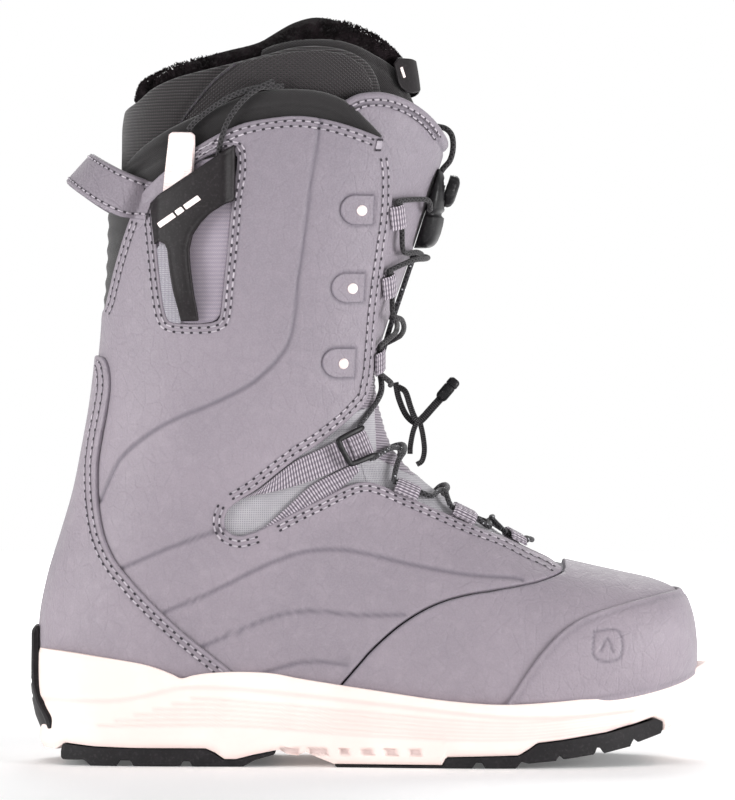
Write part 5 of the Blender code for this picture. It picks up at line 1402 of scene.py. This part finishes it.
def eye_frame(spec, side):
    """Centre, tunnel direction, forward and outward directions of a webbing eye."""
    x, z, lean, _, back, clear = spec
    t, a0 = locate(x, z, side)
    start, a = form(t, a0, EYE), a0
    while np.linalg.norm(form(t, a, EYE) - start) < back + clear:
        a = a - side * .25
    p, n = form(t, a, EYE), normals(t, a)
    q = form(*locate(x + .5 * lean[0], z + .5 * lean[1], side), EYE) - start
    e = unit(q - n * q.dot(n))
    f = np.cross(n, e)
    f *= np.sign(f.dot(p - start))
    return p, e, f, n, (float(t), float(a))


def build_eye(name, spec, side, reach=3.0):
    """Webbing folded round the lace: a flat tunnel with both legs sewn under the edge."""
    p, e, f, n, _ = eye_frame(spec, side)
    length, back = spec[3:5]
    w = np.radians(np.arange(90, -91, -18))
    outer = chain(np.column_stack([np.linspace(-back - reach, .1, 9), np.full(9, 2.35)]),
                  np.column_stack([.1 + 2.2 * np.cos(w), 2.35 * np.sin(w)])[1:-1],
                  np.column_stack([np.linspace(.1, -back - reach, 9), np.full(9, -2.35)]))
    d = np.gradient(outer, axis=0)
    m = unit(np.column_stack([d[:, 1], -d[:, 0]]))
    inner = outer + m * 1.05
    sink = np.clip((-outer[:, :1] - back + .6) / reach, 0, 1) * (0, -1.5)
    outer, inner = outer + sink, inner + sink
    run = lengths(outer)
    s = np.linspace(-.5, .5, 13)
    edge = (.5 - np.abs(s)) * length
    thin = .45 * (1 - np.clip(edge / .5, 0, 1))
    grids = []
    for prof, sign in ((outer, 1), (inner, -1)):
        q = prof[:, None] + sign * m[:, None] * thin[None, :, None]
        grids.append(p + e * (s * length)[None, :, None] + f * q[..., :1] + n * q[..., 1:])
    r, c = grids[0].shape[:2]
    tones = {"run": np.tile(np.repeat(run, c), 2), "across": np.tile(np.tile(s * length, r), 2)}
    finish(solid("web_" + name, *plate(*grids), WEB, tones=tones, sharp=60), (name,))


def strap(name, edge_a, edge_b, side, off, thick, replaces=()):
    """A webbing strap between two side-view edges."""
    a, b = (at_lengths(p, np.linspace(0, 1, 60) * lengths(p)[-1])
            for p in (smooth(edge_a, 12), smooth(edge_b, 12)))
    v = np.linspace(0, 1, 17)
    p = a[:, None] * (1 - v)[:, None] + b[:, None] * v[:, None]
    t, g = locate(p[..., 0], p[..., 1], side)
    wide = np.linalg.norm(b - a, axis=1)
    edge = np.minimum(v, 1 - v)[None] * wide[:, None]
    h = off - .5 * (1 - np.clip(edge / .6, 0, 1))
    top, low = form(t, g, h), form(t, g, off - thick)
    tones = {"run": np.tile(np.repeat(lengths(p.mean(1)), len(v)), 2),
             "across": np.tile((v[None] * wide[:, None]).ravel(), 2)}
    finish(solid(name, *plate(top, low), WEB, tones=tones, sharp=60), replaces)


def turned(name, centre, axis, profile, look, body="boot", replaces=(), sides=32, wave=0.0):
    """A turned piece from (radius, height) pairs; wave cuts twelve grips into its wall."""
    axis = Vector(axis).normalized()
    m = np.array(axis.to_track_quat("Z", "Y").to_matrix())
    w = np.arange(sides) * 2 * np.pi / sides
    rows = []
    for r, h in profile:
        rr = r * (1 - wave * (np.sin(w * 12) > 0)) if r > 3 else np.full(sides, r)
        rows.append(np.column_stack([rr * np.cos(w), rr * np.sin(w), np.full(sides, h)]) @ m.T)
    v = np.concatenate(rows) + np.asarray(centre, float)
    ob = solid(name, v, lathed(len(profile), sides), look, body, sharp=32)
    return finish(ob, replaces)


def build_hardware():
    """Webbing eyes, rivets, ankle straps and their sliders, on both sides."""
    for side, name in SIDES:
        for k, spec in enumerate(LOOPS_CUFF, 1):
            build_eye(f"cuff_loop_{name}_{k}", spec, side)
        for k, spec in enumerate(LOOPS_FORE, 1):
            build_eye(f"forefoot_loop_{name}_{k}", spec, side, 2.0)
        build_eye("ankle_loop_" + name, LOOP_ANKLE, side, 4.0)
        for k, (x, z) in enumerate(RIVETS, 1):
            t, a = locate(x, z, side)
            turned(f"rivet_head_{name}_{k}", form(t, a, .5), normals(t, a),
                   ((2.3, -.4), (2.3, .1), (2.1, .45), (1.6, .75), (.9, .92), (.2, .98)), PALE,
                   replaces=(f"rivet_{name}_{k}",), sides=20)
        strap("ankle_strap_upper_" + name, ((-52, 113.4), (-46.4, 116.8), (-36, 125), (-30, 129),
                                            (-20, 133.6), (-14, 136.6), (-7, 139.4)),
              ((-56, 111.6), (-49, 113.6), (-40, 115.4), (-29, 118.4), (-19, 122), (-9.8, 126.2),
               (-2.5, 129)), side, .1, 1.7, ("ankle_strap_" + name,))
        strap("ankle_strap_lower_" + name, ((-46, 99), (-41, 103.4), (-34, 109.6), (-25, 117.6),
                                            (-13, 124), (-6, 127)),
              ((-44, 97.6), (-38.8, 102.4), (-30, 107), (-20, 112.2), (-11, 117.6), (-4.6, 123.6)),
              side, -.5, 1.4)
        build_slider(side, name)


def build_slider(side, name):
    """Black ladder slider: a bent round bar, open towards the tongue."""
    route = ((-4.4, 142.8), (-9.4, 140.2), (-13.6, 137.8), (-13.9, 136.2), (-11.6, 131.4),
             (-9.5, 127.8), (-8.4, 127.4), (-4.2, 128.8), (.9, 130.8))
    p = smooth(route, 8)[:, :2] + SLIDER
    t, a = locate(p[:, 0], p[:, 1], side)
    path = form(t, a, 4.5)
    prof = np.column_stack(rounded_square(14, .6)) * (1.15, 1.05)
    grow = np.ones(len(path))
    grow[:3] = (.6, .85, 1)
    grow[-3:] = (1, .85, .6)
    node = "ankle_slider_" + name
    sweep("slider_bar_" + name, path, normals(t, a), prof, PLASTIC, node, scale=grow, sharp=40,
          replaces=(node,))


def thread(spec, side, down):
    """A lace's points through a webbing eye."""
    p, e, _, _, _ = eye_frame(spec, side)
    ends = [p + e * spec[3] * k for k in (.64, .44, -.44, -.64)]
    return ends if down else ends[::-1]


def over(spec_a, side_a, spec_b, side_b, away, lift):
    """A lace's points from one eye to another across the tongue, arched over it."""
    _, _, _, _, (ta, aa) = eye_frame(spec_a, side_a)
    _, _, _, _, (tb, ab) = eye_frame(spec_b, side_b)
    ta, tb = ta + away[0], tb + away[1]
    f = np.array([.12, .3, .5, .7, .88])
    s = f * f * (3 - 2 * f)
    off = EYE + (lift - EYE) * np.sin(np.pi * f) ** .5
    return list(form(ta + (tb - ta) * s, aa + (ab - aa) * f, off))


def lace(name, points, look, replaces, radius=1.15):
    """A round cord on the boot through the given points."""
    path = spline(points, .8)
    up = path - (-45, 0, 150)
    up[:, 2] *= .3
    sweep(name, path, up, circle(radius, 12), look, replaces=replaces)


def build_laces():
    """Upper and lower lace, each one cord through the eyes of its zone."""
    runs = []
    for side, _ in SIDES:
        first, second, third = LOOPS_CUFF
        far, low = -side, 2.0 if side < 0 else 4.9
        runs.append([on_front(side * 15.5, 235.4, 1.0), on_front(side * 18.6, 236.4, 2.4),
                     on_front(side * 23, 239.6, 1.8)]
                    + thread(first, side, True) + over(first, side, second, far, (-1.2, .9), low)
                    + thread(second, far, True) + over(second, far, third, side, (-1.2, 1.1), low)
                    + thread(third, side, True))
    turn = [on_front(-10, 161.4, 4.0), on_front(0, 160, 3.6), on_front(10, 161.4, 4.0)]
    lace("lace_upper_cord", runs[0] + turn + runs[1][::-1], CORD, ("upper_lace",))
    runs = []
    for side, _ in SIDES:
        one, two, three = LOOPS_FORE
        far, low, high = -side, *((-.6, 1.9) if side < 0 else (1.9, -.6))
        runs.append([on_front(side * 4.6, 217.6, -1.0), on_front(side * 4.6, 200, -1.0),
                     on_front(side * 5, 182, -1.0), on_front(side * 9, 168, -1.0),
                     on_front(side * 16.2, 156.5, .5)]
                    + thread(LOOP_ANKLE, side, True) + over(LOOP_ANKLE, side, one, far, (-.9, .9), low)
                    + thread(one, far, True) + over(one, far, two, side, (-.7, .7), high)
                    + thread(two, side, True) + over(two, side, three, far, (-.7, .7), low)
                    + thread(three, far, True))
    turn = [on_front(8, 92.4, 2.4), on_front(0, 91.6, 2.6), on_front(-8, 92.4, 2.4)]
    lace("lace_lower_cord", runs[0] + turn + runs[1][::-1], FLECKED, ("lower_lace",))


def build_lock():
    """Lace lock: moulded body on the tongue with a sprung round button."""
    z = np.array((219.4, 220.2, 222, 225, 229, 232, 232.8, 234, 235, 239, 243, 247, 250.4, 252.2, 252.9))
    front = np.array((25.4, 27.2, 28.6, 29.9, 31.0, 31.5, 30.4, 30.3, 31.6, 32.3, 32.6, 32.2, 31.4,
                      30.6, 29.2))
    half = np.array((9, 11.0, 12.4, 13.6, 14.6, 15.2, 14.2, 14.2, 15.2, 15.8, 15.6, 14.6, 12.8, 11.0,
                     9.4))
    zz = np.linspace(z[0], z[-1], 60)
    front, half = np.interp(zz, z, front), np.interp(zz, z, half)
    back = on_front(0 * zz, zz, -2.4)[:, 0]
    c, s = rounded_square(48, .75)
    y = half[:, None] * s
    curve = -.009 * y * y
    x = (front + back)[:, None] / 2 + (front - back)[:, None] / 2 * c + curve
    seat, press = np.array((31.9, 0, 244.4)), np.array((.95, 0, -.312))
    r = np.hypot(y, (zz[:, None] - seat[2]))
    floor = seat[0] + (-press[2] * (zz - seat[2])[:, None] - 1.8) / press[0]
    well = (c > 0) * np.clip((9.0 - r) / .6, 0, 1)
    x = x + np.minimum(floor - x, 0) * well
    v = np.dstack([x, y, np.broadcast_to(zz[:, None], y.shape)])
    ob = solid("lock_body", v, lathed(*y.shape), PLASTIC, sharp=32)
    finish(ob, ("lace_lock_housing",))
    turned("lock_button_cap", seat, press,
           ((2.7, .1), (2.7, .2), (6.4, .2), (7.0, .5), (7.2, 1.2), (7.1, 3.2), (6.3, 4.4),
            (4.6, 5.2), (3.2, 5.4), (2.4, 5.1), (1.2, 4.95), (.2, 4.9)), PLASTIC,
           "lace_lock_button", ("lace_lock_button",), 48, .035)
    w = np.linspace(0, 2 * np.pi * 5, 120)
    base = seat - press * 3.8
    path = base + press * np.linspace(.3, 3.6, 120)[:, None] + 1.7 * (
        np.cos(w)[:, None] * (0, 1, 0) + np.sin(w)[:, None] * (.312, 0, .95))
    ob = sweep("lock_coil", path, np.tile(press, (120, 1)), circle(.24, 8), STEEL,
               replaces=("lock_spring",))
    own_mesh(ob)
    path = spline([(28.4, 0, 271.6), (32.2, 0, 270.6), (34.8, 0, 267.6), (35.3, 0, 262.2),
                   (34.0, 0, 257), (31.2, 0, 253.6), (29.0, 0, 250.5)], .8)
    sweep("tongue_pull_cord", path, np.tile((0, 1.0, 0), (len(path), 1)), circle(1.25, 12), CORD)


def ribbon(name, points, width, thick, body="boot", replaces=(), lean=0.0):
    """A flat ribbon through the given points, its flat side to the boot's side."""
    path = spline(points, .7)
    sweep(name, path, np.tile((0, 1.0, lean), (len(path), 1)), band(width, thick), RIBBON, body,
          replaces=replaces, sharp=60)


def build_release():
    """Ribbon loops round the laces and the pull tab that frees them."""
    s = RELEASE
    ribbon("release_ribbon_fore", [(6.4 + s, -1.4, 159.5), (9.4 + s, -2.6, 157.4),
                                   (11.6 + s, -2.4, 150.8), (13.6 + s, -1.2, 146),
                                   (15.4 + s, -.4, 145.2)], 2.6, .9, lean=.15)
    ribbon("release_ribbon_rear", [(5.2 + s, 2.2, 161.5), (6.6 + s, 2.8, 154.6),
                                   (9.6 + s, 2.2, 147.6), (13.2 + s, .8, 144.2),
                                   (15.4 + s, .4, 144.6)], 2.6, .9, lean=-.15,
           replaces=("release_loop",))
    ribbon("release_leg_rear", [(14.6 + s, -.6, 145), (12.8 + s, -1.6, 140.6),
                                (11.6 + s, -2.0, 134.6), (11.4 + s, -1.2, 130.8)], 2.3, .9)
    ribbon("release_leg_fore", [(15.6 + s, .8, 144.8), (16.9 + s, 1.6, 139), (17.6 + s, 1.8, 132.4),
                                (16.6 + s, 1.0, 127.8), (14.4 + s, 0, 126.2)], 2.3, .9)
    arm = [(15.2 + s, 0, 144.4), (17.6 + s, 0, 146.8), (20.6 + s, 0, 150.2), (24.4 + s, 0, 154.4)]
    ribbon("release_pull_tab", arm, 3.4, 1.7, "release_toggle")
    axis = unit(np.array((6.1, 0, 7.2)))
    c = np.array((24.0 + s, 0, 154.2))
    out = np.array((axis[2], 0, -axis[0]))
    c0, s0 = rounded_square(24, .6)
    rows = []
    for h, wide, deep in ((0, 1.9, 1.6), (.6, 2.7, 2.2), (1.6, 3.1, 2.6), (6.9, 3.1, 2.6), (7.2, 2.9, 2.4),
                      (7.6, 2.9, 2.4), (7.9, 3.2, 2.7), (10.2, 3.1, 2.6), (10.9, 2.6, 2.1),
                      (11.3, 1.8, 1.4)):
        rows.append(c + axis * h + np.array((0, 1, 0)) * (wide * c0)[:, None]
                    + out * (deep * s0)[:, None])
    ob = solid("release_toggle_grip", np.concatenate(rows), lathed(len(rows), 24), PLASTIC,
               "release_toggle", sharp=35)
    finish(ob, ("release_toggle",))


def keep_hidden():
    """Pieces out of sight keep their solids with a finished look."""
    for node, look in (("shell_lining", LINING), ("footbed", CLOTH), ("lasting_board", BOARD)):
        for slot in NODES[node].material_slots:
            slot.material = look


# ------------------------------------------------------------------------------ stage
LENS, SENSOR = 230, 36                # mm
FIELD = .340                          # width of the picture at the lens's target, m


def build_stage():
    """Pale floor that glows more away from the boot, plain soft studio light and the long lens of a level
    side view.
    """
    scene = bpy.context.scene
    world = bpy.data.worlds.new("studio")
    scene.world = world
    world.use_nodes = True
    tree = world.node_tree
    seen, soft = tree.nodes["Background"], tree.nodes.new("ShaderNodeBackground")
    seen.inputs[0].default_value = soft.inputs[0].default_value = (1, 1, 1, 1)
    seen.inputs[1].default_value, soft.inputs[1].default_value = 1.0, .56
    pick, ray = tree.nodes.new("ShaderNodeMixShader"), tree.nodes.new("ShaderNodeLightPath")
    tree.links.new(ray.outputs["Is Camera Ray"], pick.inputs[0])
    tree.links.new(soft.outputs[0], pick.inputs[1])
    tree.links.new(seen.outputs[0], pick.inputs[2])
    tree.links.new(pick.outputs[0], tree.nodes["World Output"].inputs[0])
    look = Look("pale_glowing_floor", .6)
    look.color(look.mix(look.noise(3, 2), (.93, .93, .93), (.96, .96, .96)))
    # painted light: the floor glows, faintly near the boot and strongly beyond a metre, so it reads white
    # while a soft shadow stays under the sole
    reach = look.node("ShaderNodeVectorMath", {0: look.place}, operation="LENGTH").outputs["Value"]
    look.base.inputs["Emission Color"].default_value = (1, 1, 1, 1)
    look.tree.links.new(look.math("MULTIPLY_ADD", look.ramp(reach, .25, 1.1), .8, .1),
                        look.base.inputs["Emission Strength"])
    x, y = np.meshgrid(np.linspace(-3, 3, 7), np.linspace(-3, 3, 7), indexing="ij")
    floor = solid("floor", np.dstack([x, y, 0 * x]), grid_faces(7, 7), look.mat, None, sharp=0,
                  place=False)

    def lamp(name, place, size, power, target=(0, 0, .15)):
        data = bpy.data.lights.new(name, "AREA")
        data.shape, data.size, data.energy = "DISK", size, power
        ob = bpy.data.objects.new(name, data)
        ob.location = place
        ob.rotation_euler = (Vector(target) - Vector(place)).to_track_quat("-Z", "Y").to_euler()
        scene.collection.objects.link(ob)
    lamp("key", (1.05, -.55, .2), .6, 12.5, (.05, 0, .06))
    lamp("fill", (-1.05, -.6, .2), .6, 10, (-.05, 0, .08))
    lamp("back", (.1, 1.2, 1.1), .8, 9)
    camera = bpy.data.cameras.new("camera")
    camera.lens, camera.sensor_width, camera.clip_end = LENS, SENSOR, 20
    view = bpy.data.objects.new("camera", camera)
    view.location = (-.0006, -.026 - FIELD * LENS / SENSOR, .1547)
    view.rotation_euler = (math.radians(90), 0, 0)
    scene.collection.objects.link(view)
    scene.camera = view
    scene.view_settings.view_transform = "Standard"


def finish_stitches():
    """All thread of one colour, and all painted-shade discs of the needle holes, as one piece each."""
    for name, v, f, look in (("stitch_thread", STITCH_V, STITCH_F, THREAD),
                             ("stitch_dark", DARK_V, DARK_F, DARK_THREAD),
                             ("stitch_hole_shade", HOLE_SHADE_V, HOLE_SHADE_F, HOLE_SHADE)):
        finish(solid(name, np.vstack(v), np.vstack(f), look, sharp=0))


build_stage()
build_midsole()
build_treads()
build_bumper()
build_quarters()
build_vamp()
build_rear()
build_collar()
build_tongue()
build_liner()
build_fleece()
build_badge()
build_pockets()
build_pull_loop()
build_hardware()
build_laces()
build_lock()
build_release()
keep_hidden()
finish_stitches()
